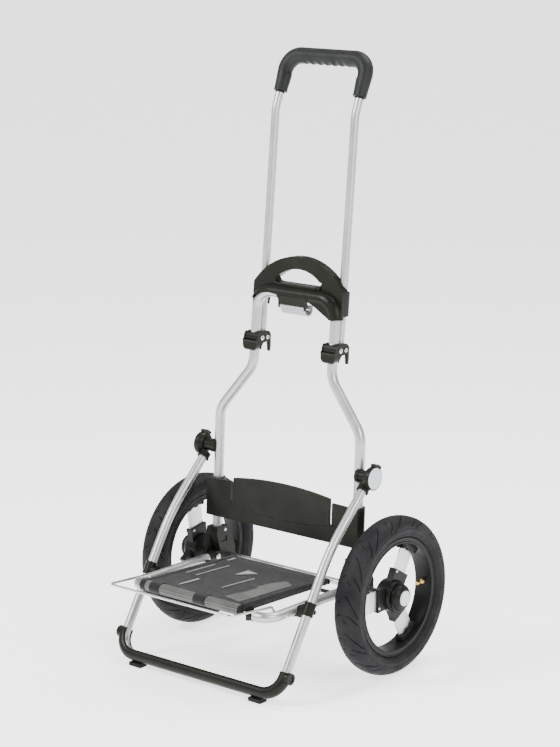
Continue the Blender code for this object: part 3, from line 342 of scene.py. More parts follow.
def make_materials():
    """Every finish, by the name that the pieces use."""
    return {
        "tube_aluminium": metal("satin_aluminium_tube", (0.47, 0.48, 0.47), 0.36, 0.48, 1400),
        "spoke_aluminium": metal("satin_aluminium_spoke", (0.6, 0.63, 0.65), 0.38, 0.5, 1100),
        "steel": metal("plated_steel", (0.6, 0.61, 0.62), 0.18, 0.32, 1800),
        "valve_brass": metal("machined_brass", (0.62, 0.42, 0.15), 0.2, 0.34, 1600),
        "black_plastic": moulded("black_moulded_plastic", (0.007, 0.007, 0.005), (0.012, 0.012, 0.009),
                                 0.28, 0.42),
        "wheel_plastic": moulded("black_wheel_plastic", (0.005, 0.005, 0.005), (0.01, 0.01, 0.009), 0.3,
                                 0.46),
        "grey_plastic": moulded("pale_grey_plastic", (0.52, 0.58, 0.6), (0.6, 0.66, 0.68), 0.34, 0.48, 1800,
                                0.08),
        "hook_plastic": moulded("grey_hook_plastic", (0.36, 0.38, 0.39), (0.44, 0.46, 0.47), 0.3, 0.44,
                                1800, 0.08),
        "soft_grip": rubber("soft_touch_grip", (0.011, 0.012, 0.012), (0.02, 0.021, 0.021), 0.4, 0.55,
                            1300),
        "foot_rubber": rubber("foot_rubber", (0.007, 0.007, 0.007), (0.016, 0.016, 0.015), 0.7, 0.88),
        "tyre_rubber": rubber("tyre_rubber", (0.007, 0.007, 0.008), (0.016, 0.016, 0.017), 0.52, 0.7, 700),
        "woven_fabric": weave("coated_weave", (0.002, 0.002, 0.002), (0.019, 0.019, 0.018), 0.0013, 0.55,
                              0.75, 0.8),
        # Pale mesh for the front hem bands; on the cover's top it paints a broad highlight.
        "mesh_and_highlight_fabric": weave("pale_mesh_and_painted_highlight", (0.014, 0.014, 0.014), (0.15, 0.15, 0.143), 0.002, 0.5, 0.7, 0.9),
        # Painted highlight: the pale streaks and triangle on the cover's top.
        "painted_highlight_weave": weave("painted_highlight_weave", (0.18, 0.18, 0.17), (0.42, 0.42, 0.4), 0.0012, 0.5, 0.7, 0.9),
        "webbing": weave("black_webbing", (0.004, 0.004, 0.004), (0.014, 0.014, 0.014), 0.0011, 0.55, 0.75,
                         0.8),
    }


MATERIALS = make_materials()


# ---------------------------------------------------------------- making pieces


def mesh_object(name, bm, shift=True, side=1):
    """Object from shapes in axle coordinates. Side -1 mirrors them to the left."""
    if side < 0:
        bmesh.ops.scale(bm, vec=(-1, 1, 1), verts=bm.verts)
    bmesh.ops.recalc_face_normals(bm, faces=bm.faces)
    if shift:
        bmesh.ops.translate(bm, vec=(0, AXLE_Y, 0), verts=bm.verts)
    mesh = bpy.data.meshes.new(name)
    bm.to_mesh(mesh)
    bm.free()
    mesh.shade_smooth()
    mesh.set_sharp_from_angle(angle=SMOOTH_ANGLE)
    obj = bpy.data.objects.new(name, mesh)
    bpy.context.scene.collection.objects.link(obj)
    return obj


def bake_modifiers(obj):
    """Replace the object's mesh with its evaluated one."""
    graph = bpy.context.evaluated_depsgraph_get()
    made = bpy.data.meshes.new_from_object(obj.evaluated_get(graph))
    obj.modifiers.clear()
    obj.data = made


def finish_piece(obj, body, finish, replaces=(), slot=None):
    """Give the piece its material and body, and hide the nodes it stands for."""
    obj.data.materials.clear()
    obj.data.materials.append(MATERIALS[finish])
    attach(obj, body)
    if replaces:
        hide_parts(*replaces)
    slot or finish
    return obj


def piece(name, bm, body, finish, replaces=(), side=1, slot=None, round_edges=0):
    """One shape as a finished piece."""
    obj = mesh_object(name, bm, side=side)
    if round_edges:
        soften(obj, round_edges)
    return finish_piece(obj, body, finish, replaces, slot)


def soften(obj, width):
    """Round every hard edge, then share normals by face area so that flat faces stay flat."""
    weld = obj.modifiers.new("weld", "WELD")
    weld.merge_threshold = WELD_DISTANCE
    bevel = obj.modifiers.new("edges", "BEVEL")
    bevel.width = width
    bevel.segments = 3
    bevel.limit_method = "ANGLE"
    bevel.angle_limit = SMOOTH_ANGLE
    bevel.miter_outer = "MITER_ARC"
    bake_modifiers(obj)
    obj.data.shade_smooth()
    obj.data.set_sharp_from_angle(angle=CREASE_ANGLE)
    weights = obj.modifiers.new("weights", "WEIGHTED_NORMAL")
    weights.weight = 80


def combine(obj, tools, shift=True, side=1):
    """Join shapes to the object or cut them from it, in order, and keep the result as its mesh."""
    helpers = []
    for operation, bm in tools:
        helper = mesh_object(f"{obj.name}_tool", bm, shift, side)
        boolean = obj.modifiers.new(operation.lower(), "BOOLEAN")
        boolean.operation = operation
        boolean.solver = "EXACT"
        boolean.object = helper
        helpers.append(helper)
    bake_modifiers(obj)
    for helper in helpers:
        bpy.data.objects.remove(helper, do_unlink=True)


def moulding(name, body, finish, adds, cuts=(), replaces=(), side=1, edge=EDGE, slot=None):
    """One moulded piece: the shapes joined, less the cuts, with its edges rounded."""
    obj = mesh_object(name, adds[0], side=side)
    combine(obj, [("UNION", bm) for bm in adds[1:]] + [("DIFFERENCE", bm) for bm in cuts], side=side)
    soften(obj, edge)
    return finish_piece(obj, body, finish, replaces, slot)


def cut_shape(bm, cut):
    """One shape less another, as a shape again."""
    obj = mesh_object("shape", bm, shift=False)
    combine(obj, [("DIFFERENCE", cut)], shift=False)
    made = bmesh.new()
    made.from_mesh(obj.data)
    bpy.data.objects.remove(obj, do_unlink=True)
    return made


# ---------------------------------------------------------------- shapes


def extrude(points, reach):
    """Closed solid: a flat outline of points pushed along a vector."""
    bm = bmesh.new()
    face = bm.faces.new([bm.verts.new(point) for point in points])
    made = bmesh.ops.extrude_face_region(bm, geom=[face])
    moved = [item for item in made["geom"] if isinstance(item, bmesh.types.BMVert)]
    bmesh.ops.translate(bm, vec=reach, verts=moved)
    return bm


def prism(outline, axis, low, high):
    """Outline extruded from low to high along an axis: x takes (y, z) points and y takes (x, z) points."""
    if axis == "x":
        return extrude([(low, u, v) for u, v in outline], (high - low, 0, 0))
    return extrude([(u, low, v) for u, v in outline], (0, high - low, 0))


def box(x, y, z):
    """Box from three (low, high) pairs."""
    return prism([(y[0], z[0]), (y[1], z[0]), (y[1], z[1]), (y[0], z[1])], "x", *x)


def arc(centre, radius, start, end, steps):
    """Points of a circular arc, angles in degrees."""
    angles = [math.radians(start + (end - start) * i / steps) for i in range(steps + 1)]
    return [(centre[0] + radius * math.cos(a), centre[1] + radius * math.sin(a)) for a in angles]


def arch_size(half_chord, rise):
    """Radius of a flat arch, and half its angle in degrees."""
    radius = (half_chord**2 + rise**2) / (2 * rise)
    return radius, math.degrees(math.asin(half_chord / radius))


def rays(across, beside, segments):
    """Unit vectors round a circle, from the two vectors that span it."""
    angles = [2 * math.pi * k / segments for k in range(segments)]
    return [across * math.cos(a) + beside * math.sin(a) for a in angles]


def lathe(profile, centre, axis, segments=ROUND):
    """(along, radius) profile turned round an axis through centre. Off the axis it closes on itself."""
    bm = bmesh.new()
    axis = Vector(axis).normalized()
    across = axis.orthogonal().normalized()
    circle = rays(across, axis.cross(across), segments)
    rings = []
    for along, radius in profile:
        middle = Vector(centre) + axis * along
        if radius == 0:
            rings.append([bm.verts.new(middle)] * segments)
        else:
            rings.append([bm.verts.new(middle + ray * radius) for ray in circle])
    pairs = list(zip(rings, rings[1:]))
    if profile[0][1] > 0:
        pairs.append((rings[-1], rings[0]))
    for first, second in pairs:
        for k in range(segments):
            after = (k + 1) % segments
            unique = list(dict.fromkeys([first[k], first[after], second[after], second[k]]))
            if len(unique) > 2:
                bm.faces.new(unique)
    return bm


def rod(start, end, radius, segments=ROUND):
    """Solid cylinder between two points."""
    start = Vector(start)
    reach = Vector(end) - start
    return lathe([(0, 0), (0, radius), (reach.length, radius), (reach.length, 0)], start, reach, segments)


def bar(x, y, z, radius, segments=ROUND):
    """Solid cylinder along X between the two values of x."""
    ends = [(value, y, z) for value in x]
    return rod(*ends, radius, segments)


def fillet(corners, radii, steps=14):
    """Path through the corners, each inner corner rounded by an arc of its radius."""
    path = [Vector(corners[0])]
    for before, corner, after, radius in zip(corners, corners[1:], corners[2:], radii):
        corner = Vector(corner)
        back = (Vector(before) - corner).normalized()
        on = (Vector(after) - corner).normalized()
        half = back.angle(on) / 2
        middle = corner + (back + on).normalized() * radius / math.sin(half)
        first = corner + back * radius / math.tan(half) - middle
        last = corner + on * radius / math.tan(half) - middle
        turn = first.angle(last)
        for i in range(steps + 1):
            share = i / steps
            mix = first * math.sin((1 - share) * turn) + last * math.sin(share * turn)
            path.append(middle + mix / math.sin(turn))
    path.append(Vector(corners[-1]))
    return path


def sweep(path, radius, bore=0, segments=ROUND, shape=None):
    """Round bar along a path, or an open tube when it has a bore. shape(i, ray, point) scales the radius."""
    bm = bmesh.new()
    radii = radius if isinstance(radius, list) else [radius] * len(path)
    aims = [(b - a).normalized() for a, b in zip(path, path[1:])]
    aims = [aims[0]] + [(a + b).normalized() for a, b in zip(aims, aims[1:])] + [aims[-1]]
    across = aims[0].orthogonal().normalized()
    outer = []
    inner = []
    for i, (point, aim, reach) in enumerate(zip(path, aims, radii)):
        across = (across - aim * across.dot(aim)).normalized()
        circle = rays(across, aim.cross(across), segments)
        scales = [shape(i, ray, point) if shape else 1 for ray in circle]
        outer.append([bm.verts.new(point + ray * reach * scale) for ray, scale in zip(circle, scales)])
        if bore:
            inner.append([bm.verts.new(point + ray * bore) for ray in circle])
    for rings in [outer, inner] if bore else [outer]:
        for first, second in zip(rings, rings[1:]):
            stitch(bm, first, second)
    if bore:
        stitch(bm, outer[0], inner[0])
        stitch(bm, outer[-1], inner[-1])
    else:
        bm.faces.new(outer[0])
        bm.faces.new(outer[-1])
    return bm


def stitch(bm, first, second):
    """Quads between two rings of the same length."""
    for k in range(len(first)):
        after = (k + 1) % len(first)
        bm.faces.new([first[k], first[after], second[after], second[k]])


def skin(bm, rows):
    """Quads between open rows of points of the same length."""
    for first, second in zip(rows, rows[1:]):
        for corners in zip(first, first[1:], second[1:], second):
            bm.faces.new(corners)


def shear_back(bm, lean, from_z):
    """Lean a shape back by sliding its points along Y with height."""
    for vert in bm.verts:
        vert.co.y += (vert.co.z - from_z) * lean
    return bm


def mirrored(corners):
    """Corners of a symmetric path: the right half as given, then its mirror half."""
    return corners + [(-x, y, z) for x, y, z in reversed(corners)]


def dome(centre, axis, radius, height):
    """Low rivet head."""
    steps = 6
    profile = [(height * math.sin(math.pi / 2 * i / steps), radius * math.cos(math.pi / 2 * i / steps))
               for i in range(steps)]
    return lathe([(0, 0), *profile, (height, 0)], centre, axis, 20)


# ---------------------------------------------------------------- centre lines


def upright_y(z):
    """Y of an upright's centre line at height z."""
    lean = LOWER_LEAN if z < BEND_Z else UPPER_LEAN
    return BEND_Y + (z - BEND_Z) * lean


def handle_y(z):
    """Y of the handle tube's centre line at height z."""
    return BEND_Y + HANDLE_BEHIND + (z - BEND_Z) * UPPER_LEAN


def upright_path():
    heights = [UPRIGHT_FOOT_Z, FLARE_LOW_Z, FLARE_HIGH_Z, ARCH_Z]
    sides = [LOWER_X, LOWER_X, UPPER_X, UPPER_X]
    right = [(x, upright_y(z), z) for x, z in zip(sides, heights)]
    bends = [0.05, 0.05, ARCH_CORNER]
    return fillet(mirrored(right), bends + bends[::-1])


def handle_path():
    top_y = handle_y(HANDLE_BEND_Z) + (HANDLE_TOP_Z - HANDLE_BEND_Z) * HANDLE_TOP_LEAN
    right = [
        (UPPER_X, handle_y(HANDLE_FOOT_Z), HANDLE_FOOT_Z),
        (UPPER_X, handle_y(HANDLE_BEND_Z), HANDLE_BEND_Z),
        (UPPER_X, top_y, HANDLE_TOP_Z),
    ]
    bends = [0.06, HANDLE_CORNER]
    return fillet(mirrored(right), bends + bends[::-1])


def leg_path():
    top = SOCKET_MOUTH - SOCKET_AIM * 0.01
    right = [tuple(top), tuple(LEG_BEND), tuple(FOOT_CORNER)]
    bends = [0.35, FOOT_CORNER_RADIUS]
    return fillet(mirrored(right), bends + bends[::-1])


def leg_point(z):
    """Point of the straight lower leg at height z."""
    share = (z - FOOT_CORNER.z) / (LEG_BEND.z - FOOT_CORNER.z)
    return FOOT_CORNER.lerp(LEG_BEND, share)


def tray_z(y):
    """Height of the top of the tray, which rises towards the front."""
    front = TRAY_ROD_Z + TRAY_ROD_RADIUS + SHEET + GAP
    rear = TRAY_REAR_Z + TRAY_REAR_RADIUS + SHEET + GAP
    share = (y - TRAY_REAR_Y) / (TRAY_ROD_Y - TRAY_REAR_Y)
    return rear + (front - rear) * share


def evenly(path, step):
    """Points along a path, no further apart than step."""
    made = [path[0]]
    for a, b in zip(path, path[1:]):
        count = max(1, math.ceil((b - a).length / step))
        made += [a.lerp(b, i / count) for i in range(1, count + 1)]
    return made


# ---------------------------------------------------------------- tubes and wire


def tubes():
    """The bent tubes, open at their ends, and the solid axle."""
    corners = [(SHELF_X, SHELF_REAR_Y, SHELF_Z), (SHELF_X, SHELF_FRONT_Y, SHELF_Z),
               (SHELF_INNER_X, SHELF_FRONT_Y, SHELF_Z)]
    shelf_path = fillet(corners, [SHELF_CORNER])
    bent = [
        ("frame_tube", "main_frame_tube", upright_path(), MAIN_RADIUS, "frame", 1),
        ("handle_tube", "handle_tube", handle_path(), HANDLE_RADIUS, "handle", 1),
        ("stand_tube", "stand_tube", leg_path(), LEG_RADIUS, "stand", 1),
    ]
    for side, tag in SIDES:
        name = f"shelf_tube_{tag}"
        bent.append((name, name, shelf_path, SHELF_RADIUS, "shelf", side))
    for name, node_name, path, radius, body, side in bent:
        tube = sweep(path, radius, radius - TUBE_WALL, FINE_ROUND)
        piece(f"{name}_fine", tube, body, "tube_aluminium", [node_name], side)
    chamfer = 0.0012
    profile = [(-AXLE_HALF_LENGTH, 0), (-AXLE_HALF_LENGTH, AXLE_RADIUS - chamfer),
               (chamfer - AXLE_HALF_LENGTH, AXLE_RADIUS), (AXLE_HALF_LENGTH - chamfer, AXLE_RADIUS),
               (AXLE_HALF_LENGTH, AXLE_RADIUS - chamfer), (AXLE_HALF_LENGTH, 0)]
    piece("axle_fine", lathe(profile, (0, 0, AXLE_Z), (1, 0, 0)), "frame", "steel", ["axle"])


def wire_bail():
    """Wire bow, hooked through both shelf tubes."""
    right = [
        (SHELF_X + 0.014, BAIL_PIVOT_Y, SHELF_Z),
        (SHELF_X - 0.0135, BAIL_PIVOT_Y, SHELF_Z),
        (SHELF_X - 0.0135, -0.233, 0.164),
        (0.142, -0.337, 0.1725),
    ]
    bends = [0.0045, 0.006, 0.011]
    path = fillet(mirrored(right), bends + bends[::-1], 8)
    piece("wire_bail_fine", sweep(path, BAIL_RADIUS, 0, 20), "bail", "steel", ["wire_bail"])


def hand_grip():
    """Soft grip: finger waves under its bar, a step inside each arm, and a lip and a cuff at each end."""
    end_y = handle_y(HANDLE_BEND_Z) + (GRIP_END_Z - HANDLE_BEND_Z) * HANDLE_TOP_LEAN
    above = [point for point in handle_path() if point.z > GRIP_END_Z]
    ends = [Vector((x, end_y, GRIP_END_Z)) for x in (UPPER_X, -UPPER_X)]
    path = evenly([ends[0], *above, ends[1]], 0.0016)
    count = len(path)
    below = Vector((0, -math.sin(HANDLE_TOP_TILT), -math.cos(HANDLE_TOP_TILT)))
    radii = []
    for i in range(count):
        share = min(i, count - 1 - i) / ((count - 1) / 2)
        radii.append(GRIP_THIN + GRIP_SWELL * math.sin(min(1, share * 1.7) * math.pi / 2))

    def shape(i, ray, point):
        from_end = min(i, count - 1 - i)
        under = max(0, ray.dot(below))
        inner = max(0, -ray.x * math.copysign(1, point.x))
        fade = max(0, 1 - (abs(point.x) / FINGERS_HALF_LENGTH) ** 6)
        waves = 0.085 * under ** 1.5 * (math.cos(2 * math.pi * point.x / FINGER_PITCH) - 0.55) * fade
        step = 0.16 * inner ** 3 * max(0, min(1, 1 - (from_end - 20) / 3)) if abs(point.x) > 0.06 else 0
        lip = 0.035 if from_end < 3 else 0
        return 1 + waves + step + lip

    bm = sweep(path, radii, HANDLE_RADIUS + 0.0006, FINE_ROUND, shape)
    piece("hand_grip_fine", bm, "handle", "soft_grip", ["hand_grip"])
    for number, x in enumerate((UPPER_X, -UPPER_X), start=1):
        cuff = rod((x, end_y, GRIP_END_Z), (x, end_y - 0.0012, GRIP_END_Z - 0.003), HANDLE_RADIUS + 0.001)
        piece(f"grip_cuff_{number}", cuff, "handle", "soft_grip", round_edges=0.0003)


# ---------------------------------------------------------------- frame mouldings


def cross_panel():
    """Back panel: two slits, ribs behind, a raised line in front and a sleeve round each upright."""
    half_slit = SLIT_WIDTH / 2
    radius, swing = arch_size(SLIT_X - half_slit, PANEL_TOP_Z - PANEL_CROWN_Z)
    crown = arc((0, PANEL_TOP_Z - radius), radius, 90 - swing, 90 + swing, 24)
    right = [
        (PANEL_HALF_WIDTH, PANEL_LOW_Z),
        (PANEL_HALF_WIDTH, PANEL_SIDE_Z),
        (SLIT_X + half_slit, PANEL_SIDE_Z + 0.002),
        (SLIT_X + half_slit, SLIT_FOOT_Z),
        (SLIT_X - half_slit, SLIT_FOOT_Z),
    ]
    left = [(-x, z) for x, z in reversed(right)]
    plate = prism(right + crown + left, "y", PANEL_FRONT, PANEL_BACK)
    lip = box((-0.148, 0.148), (PANEL_BACK - 0.001, PANEL_BACK + 0.007), (PANEL_LOW_Z, PANEL_LOW_Z + 0.003))
    ribs = [box((x - 0.0015, x + 0.0015), (PANEL_BACK - 0.001, PANEL_BACK + 0.006),
                (PANEL_LOW_Z + 0.001, PANEL_SIDE_Z)) for x in (-0.09, -0.03, 0.03, 0.09)]
    middle = (PANEL_LOW_Z + PANEL_SIDE_Z) / 2
    sleeves = []
    bores = []
    for x in (LOWER_X, -LOWER_X):
        centre = (x, upright_y(middle))
        sleeves.append(rod((*centre, PANEL_LOW_Z), (*centre, PANEL_SIDE_Z), SLEEVE_RADIUS))
        bores.append(rod((*centre, PANEL_LOW_Z - 0.01), (*centre, PANEL_SIDE_Z + 0.01), MAIN_RADIUS + GAP))
    for bm in [plate, lip, *ribs, *sleeves, *bores]:
        shear_back(bm, LOWER_LEAN, middle)
    moulding("cross_panel_fine", "frame", "black_plastic", [plate, lip, *ribs, *sleeves], bores,
             ["cross_panel"],
             edge=0.0007)
    sag = []
    for i in range(41):
        x = -0.15 + 0.3 * i / 40
        z = 0.25 + 0.0165 * (abs(x) / 0.15) ** 2
        sag.append(Vector((x, PANEL_FRONT + (z - middle) * LOWER_LEAN, z)))
    piece("panel_ridge", sweep(sag, 0.0006, 0, 12), "frame", "black_plastic")
    for number, x in enumerate((-0.15, 0.15)):
        z = 0.285
        y = PANEL_FRONT + (z - middle) * LOWER_LEAN
        boss = dome((x, y, z), (0, -1, 0), 0.0035, 0.0012)
        piece(f"panel_stud_{number + 1}", boss, "frame", "black_plastic")


def bracket_hole():
    """Outline of the carry handle's hole: flat below, arched above."""
    corner = 0.009
    half_chord = HOLE_HALF_WIDTH - 0.004
    radius, swing = arch_size(half_chord, HOLE_TOP_Z - HOLE_LOW_Z - corner)
    top = arc((0, HOLE_TOP_Z - radius), radius, 90 - swing, 90 + swing, 24)
    right = arc((HOLE_HALF_WIDTH - corner, HOLE_LOW_Z + corner), corner, -90, 0, 8)
    left = arc((corner - HOLE_HALF_WIDTH, HOLE_LOW_Z + corner), corner, 180, 270, 8)
    return right + top + left


def bracket_cover():
    """Round cover over the arch, cut away in front at the left so that the bend of the tube shows."""
    foot_z = ARCH_Z - ARCH_CORNER - GAP
    cover = sweep([point for point in upright_path() if point.z > foot_z], COVER_RADIUS, 0, 40)
    bare = [(-0.12, 0.6), (-0.12, 0.63), (-0.1045, 0.644), (-0.092, 0.653), (-0.076, 0.659),
            (-0.056, 0.662), (-0.036, 0.66), (0.036, 0.653), (0.056, 0.648), (0.074, 0.637),
            (0.09, 0.624), (0.12, 0.6)]
    return cut_shape(cover, prism(bare, "y", -0.03, 0.015))


def carry_bracket():
    """Carry handle with its ribs, the cover over the arch, the handle's sleeves and the hook's ears."""
    radius, swing = arch_size(BRACKET_HALF_WIDTH, BRACKET_TOP_Z - BRACKET_SIDE_Z)
    crown = arc((0, BRACKET_TOP_Z - radius), radius, 90 - swing, 90 + swing, 40)
    foot = [(-BRACKET_HALF_WIDTH, BRACKET_LOW_Z), (-0.085, BRACKET_LOW_Z), (-0.07, 0.658), (0.07, 0.658),
            (0.085, BRACKET_LOW_Z), (BRACKET_HALF_WIDTH, BRACKET_LOW_Z)]
    plate = prism(foot + crown, "y", PLATE_FRONT, PLATE_BACK)
    hole = prism(bracket_hole(), "y", PLATE_FRONT - 0.02, PLATE_BACK + 0.02)
    corner = [(0.04, 0.6525), (0.04, 0.66), (0.0915, 0.66), (0.099, 0.63), (0.096, 0.6275),
              (0.088, 0.628), (0.072, 0.6365), (0.054, 0.6465)]
    gusset = prism(corner, "y", -0.0004, 0.0072)
    for bm in (plate, hole, gusset):
        shear_back(bm, UPPER_LEAN, BRACKET_LEAN_Z)
    handle_bores = []
    sleeves = []
    for x in (UPPER_X, -UPPER_X):
        low = Vector((x, handle_y(BRACKET_LOW_Z), BRACKET_LOW_Z))
        high = Vector((x, handle_y(BRACKET_SIDE_Z), BRACKET_SIDE_Z))
        aim = (high - low).normalized()
        sleeves.append(rod(low, high, BRACKET_HALF_WIDTH - UPPER_X))
        handle_bores.append(rod(low - aim * 0.01, high + aim * 0.03, HANDLE_RADIUS + GAP))
    rail = bar((-0.0525, 0.0525), 0.02, 0.6755, 0.0085)
    tongue = prism([(-0.036, 0.66), (-0.027, 0.6446), (0.027, 0.6446), (0.036, 0.66)], "y", -0.0022, 0.002)
    inside = HOOK_HALF_WIDTH + GAP
    ears = [box((x, x + 0.003), (-0.0022, 0.0055), (0.6375, 0.662)) for x in (inside, -inside - 0.003)]
    below = [(UPPER_X - 0.002, 0.6)]
    below += arc((UPPER_X - ARCH_CORNER, ARCH_Z - ARCH_CORNER), ARCH_CORNER - 0.002, 0, 90, 12)
    below += [(-x, z) for x, z in reversed(below)]
    open_arch = prism(below, "y", 0.0065, 0.04)
    keep_tube = sweep(upright_path(), MAIN_RADIUS + GAP, 0, ROUND)
    notch = box((0.0435, 0.05), (0.008, 0.0175), (0.674, 0.69))
    moulding("carry_bracket_fine", "frame", "black_plastic",
             [plate, bracket_cover(), gusset, rail, tongue, *ears, *sleeves],
             [hole, open_arch, keep_tube, notch, *handle_bores], ["carry_bracket"], edge=0.0012)
    catch = bar((0.044, 0.0495), 0.015, 0.6765, 0.0026)
    piece("bracket_catch", catch, "frame", "black_plastic", round_edges=0.0005)
    for number in range(3):
        y = PLATE_FRONT + 0.004 + 0.0045 * number
        ridge = [Vector((x, y + (z - BRACKET_LEAN_Z) * UPPER_LEAN, z))
                 for x, z in arc((0, BRACKET_TOP_Z - radius), radius + 0.00005, 88, 90 - swing + 4, 30)]
        piece(f"bracket_rib_{number + 1}", sweep(ridge, 0.0009, 0, 12), "frame", "black_plastic")


def cart_hook():
    """Half-round hook that hangs from its pin under the arch."""
    centre = (HOOK_PIN_Y + 0.0118, HOOK_PIN_Z - 0.0035)
    outer = arc(centre, HOOK_RADIUS, 150, 395, 32)
    inner = arc(centre, HOOK_RADIUS - 0.0028, 395, 150, 32)
    shell = prism(outer + inner, "x", -HOOK_HALF_WIDTH, HOOK_HALF_WIDTH)
    knuckle = bar((-HOOK_HALF_WIDTH, HOOK_HALF_WIDTH), HOOK_PIN_Y, HOOK_PIN_Z, 0.0034)
    bore = bar((-0.04, 0.04), HOOK_PIN_Y, HOOK_PIN_Z, 0.0016)
    moulding("cart_hook_fine", "cart_hook", "hook_plastic", [shell, knuckle], [bore], ["cart_hook"],
             slot="grey_plastic")
    reach = HOOK_HALF_WIDTH + 0.003
    piece("hook_pin_fine", bar((-reach, reach), HOOK_PIN_Y, HOOK_PIN_Z, 0.0014), "frame",
          "steel", ["hook_pin"], round_edges=0.0003)


def clamp(side, tag):
    """Clamp body with two prongs behind, its rivet and nut, and the hollow pin of the lever."""
    y = upright_y(PIN_Z)
    nose = arc((y, PIN_Z), CLAMP_NOSE, 105, 255, 24)
    back = HANDLE_BEHIND + HANDLE_RADIUS + 0.004
    hump = arc((y + back - 0.011, PIN_Z - 0.001), 0.011, -50, 95, 12)
    body = prism(nose + hump, "x", UPPER_X - CLAMP_HALF_WIDTH, UPPER_X + CLAMP_HALF_WIDTH)
    prong = [(y + back - 0.0075, PIN_Z - 0.004), (y + back - 0.006, PIN_Z - 0.0285),
             (y + back - 0.003, PIN_Z - 0.03), (y + back - 0.0004, PIN_Z - 0.018),
             (y + back - 0.0004, PIN_Z - 0.004)]
    prongs = [prism(prong, "x", x, x + 0.005)
              for x in (UPPER_X + CLAMP_HALF_WIDTH - 0.0052, UPPER_X - CLAMP_HALF_WIDTH + 0.0002)]
    low = PIN_Z - 0.035
    high = PIN_Z + 0.03
    cuts = [
        rod((UPPER_X, upright_y(low), low), (UPPER_X, upright_y(high), high), MAIN_RADIUS + GAP),
        rod((UPPER_X, handle_y(low), low), (UPPER_X, handle_y(high), high), HANDLE_RADIUS + GAP),
        bar((UPPER_X - 0.02, UPPER_X + 0.02), y, PIN_Z, 0.0043),
        bar((UPPER_X + 0.01, UPPER_X + 0.02), y + HANDLE_BEHIND, PIN_Z - 0.002, 0.0033),
        box((UPPER_X - 0.0006, UPPER_X + 0.0006), (y + HANDLE_BEHIND + 0.004, y + 0.04), (low, high)),
    ]
    moulding(f"clamp_body_{tag}_fine", "frame", "black_plastic", [body, *prongs], cuts,
             [f"clamp_body_{tag}"], side,
             0.0011)
    profile = [(0, 0), (0, 0.003), (0.0031, 0.003), (0.0031, 0.004), (0.0044, 0.004), (0.005, 0.0035),
               (0.005, 0.002), (0.0028, 0.0018), (0.0025, 0)]
    bolt = lathe(profile, (UPPER_X + 0.0103, y + HANDLE_BEHIND, PIN_Z - 0.002), (1, 0, 0))
    piece(f"clamp_bolt_{tag}_fine", bolt, "frame", "steel", [f"clamp_bolt_{tag}"], side)
    nut = lathe([(0.0024, 0), *profile[3:]], (UPPER_X - 0.0103, y + HANDLE_BEHIND, PIN_Z - 0.002),
                (-1, 0, 0))
    piece(f"clamp_nut_{tag}", nut, "frame", "steel", side=side)
    half = LEVER_OUTER + GAP
    head = 0.001
    profile = [(-half - head, 0.0018), (-half - head, 0.004), (-half - 0.0006, 0.0046), (-half, 0.0046),
               (-half, 0.0039), (half, 0.0039), (half, 0.0046), (half + 0.0006, 0.0046),
               (half + head, 0.004),
               (half + head, 0.0018)]
    piece(f"cam_pin_{tag}_fine", lathe(profile, (UPPER_X, y, PIN_Z), (1, 0, 0)), "frame", "steel",
          [f"cam_pin_{tag}"], side)


def paddle_corners(y):
    """Cutters that round off the two lower corners of a lever's paddle."""
    turn = 0.012
    low = PIN_Z - 0.0236
    rounding = [(x - UPPER_X, z) for x, z in arc((UPPER_X + LEVER_OUTER - turn, low + turn), turn, 0, -90,
                                                 14)]
    outline = [*rounding, (rounding[-1][0], low - 0.01), (LEVER_OUTER + 0.004, low - 0.01),
               (LEVER_OUTER + 0.004, low + turn)]
    cutters = []
    for hand in (-1, 1):
        cutters.append(prism([(UPPER_X + hand * x, z) for x, z in outline], "y", y - 0.04, y - 0.004))
    return cutters


def clamp_lever(side, tag):
    """Quick-release lever: two cheeks on the pin and a paddle over the nose of the clamp."""
    y = upright_y(PIN_Z)
    profile = arc((y, PIN_Z), 0.01, 60, -60, 14)
    profile += arc((y - 0.0118, PIN_Z - 0.0175), 0.006, -60, -160, 10)
    profile += arc((y, PIN_Z), CLAMP_NOSE + 0.005, 205, 191, 6)
    profile += arc((y, PIN_Z), CLAMP_NOSE + 0.001, 183, 125, 14)
    body = prism(profile, "x", UPPER_X - LEVER_OUTER, UPPER_X + LEVER_OUTER)
    between = (UPPER_X - LEVER_INNER, UPPER_X + LEVER_INNER)
    hollow = bar(between, y, PIN_Z, CLAMP_NOSE + 0.0005)
    behind = box(between, (y - 0.0125, y + 0.02), (PIN_Z - 0.03, PIN_Z + 0.02))
    above = box(between, (y - 0.03, y + 0.02), (PIN_Z - 0.0035, PIN_Z + 0.02))
    bore = bar((UPPER_X - 0.02, UPPER_X + 0.02), y, PIN_Z, 0.0041)
    moulding(f"clamp_lever_{tag}_fine", f"lever_{tag}", "black_plastic", [body],
             [hollow, behind, above, bore, *paddle_corners(y)], [f"clamp_lever_{tag}"], side, 0.0013)


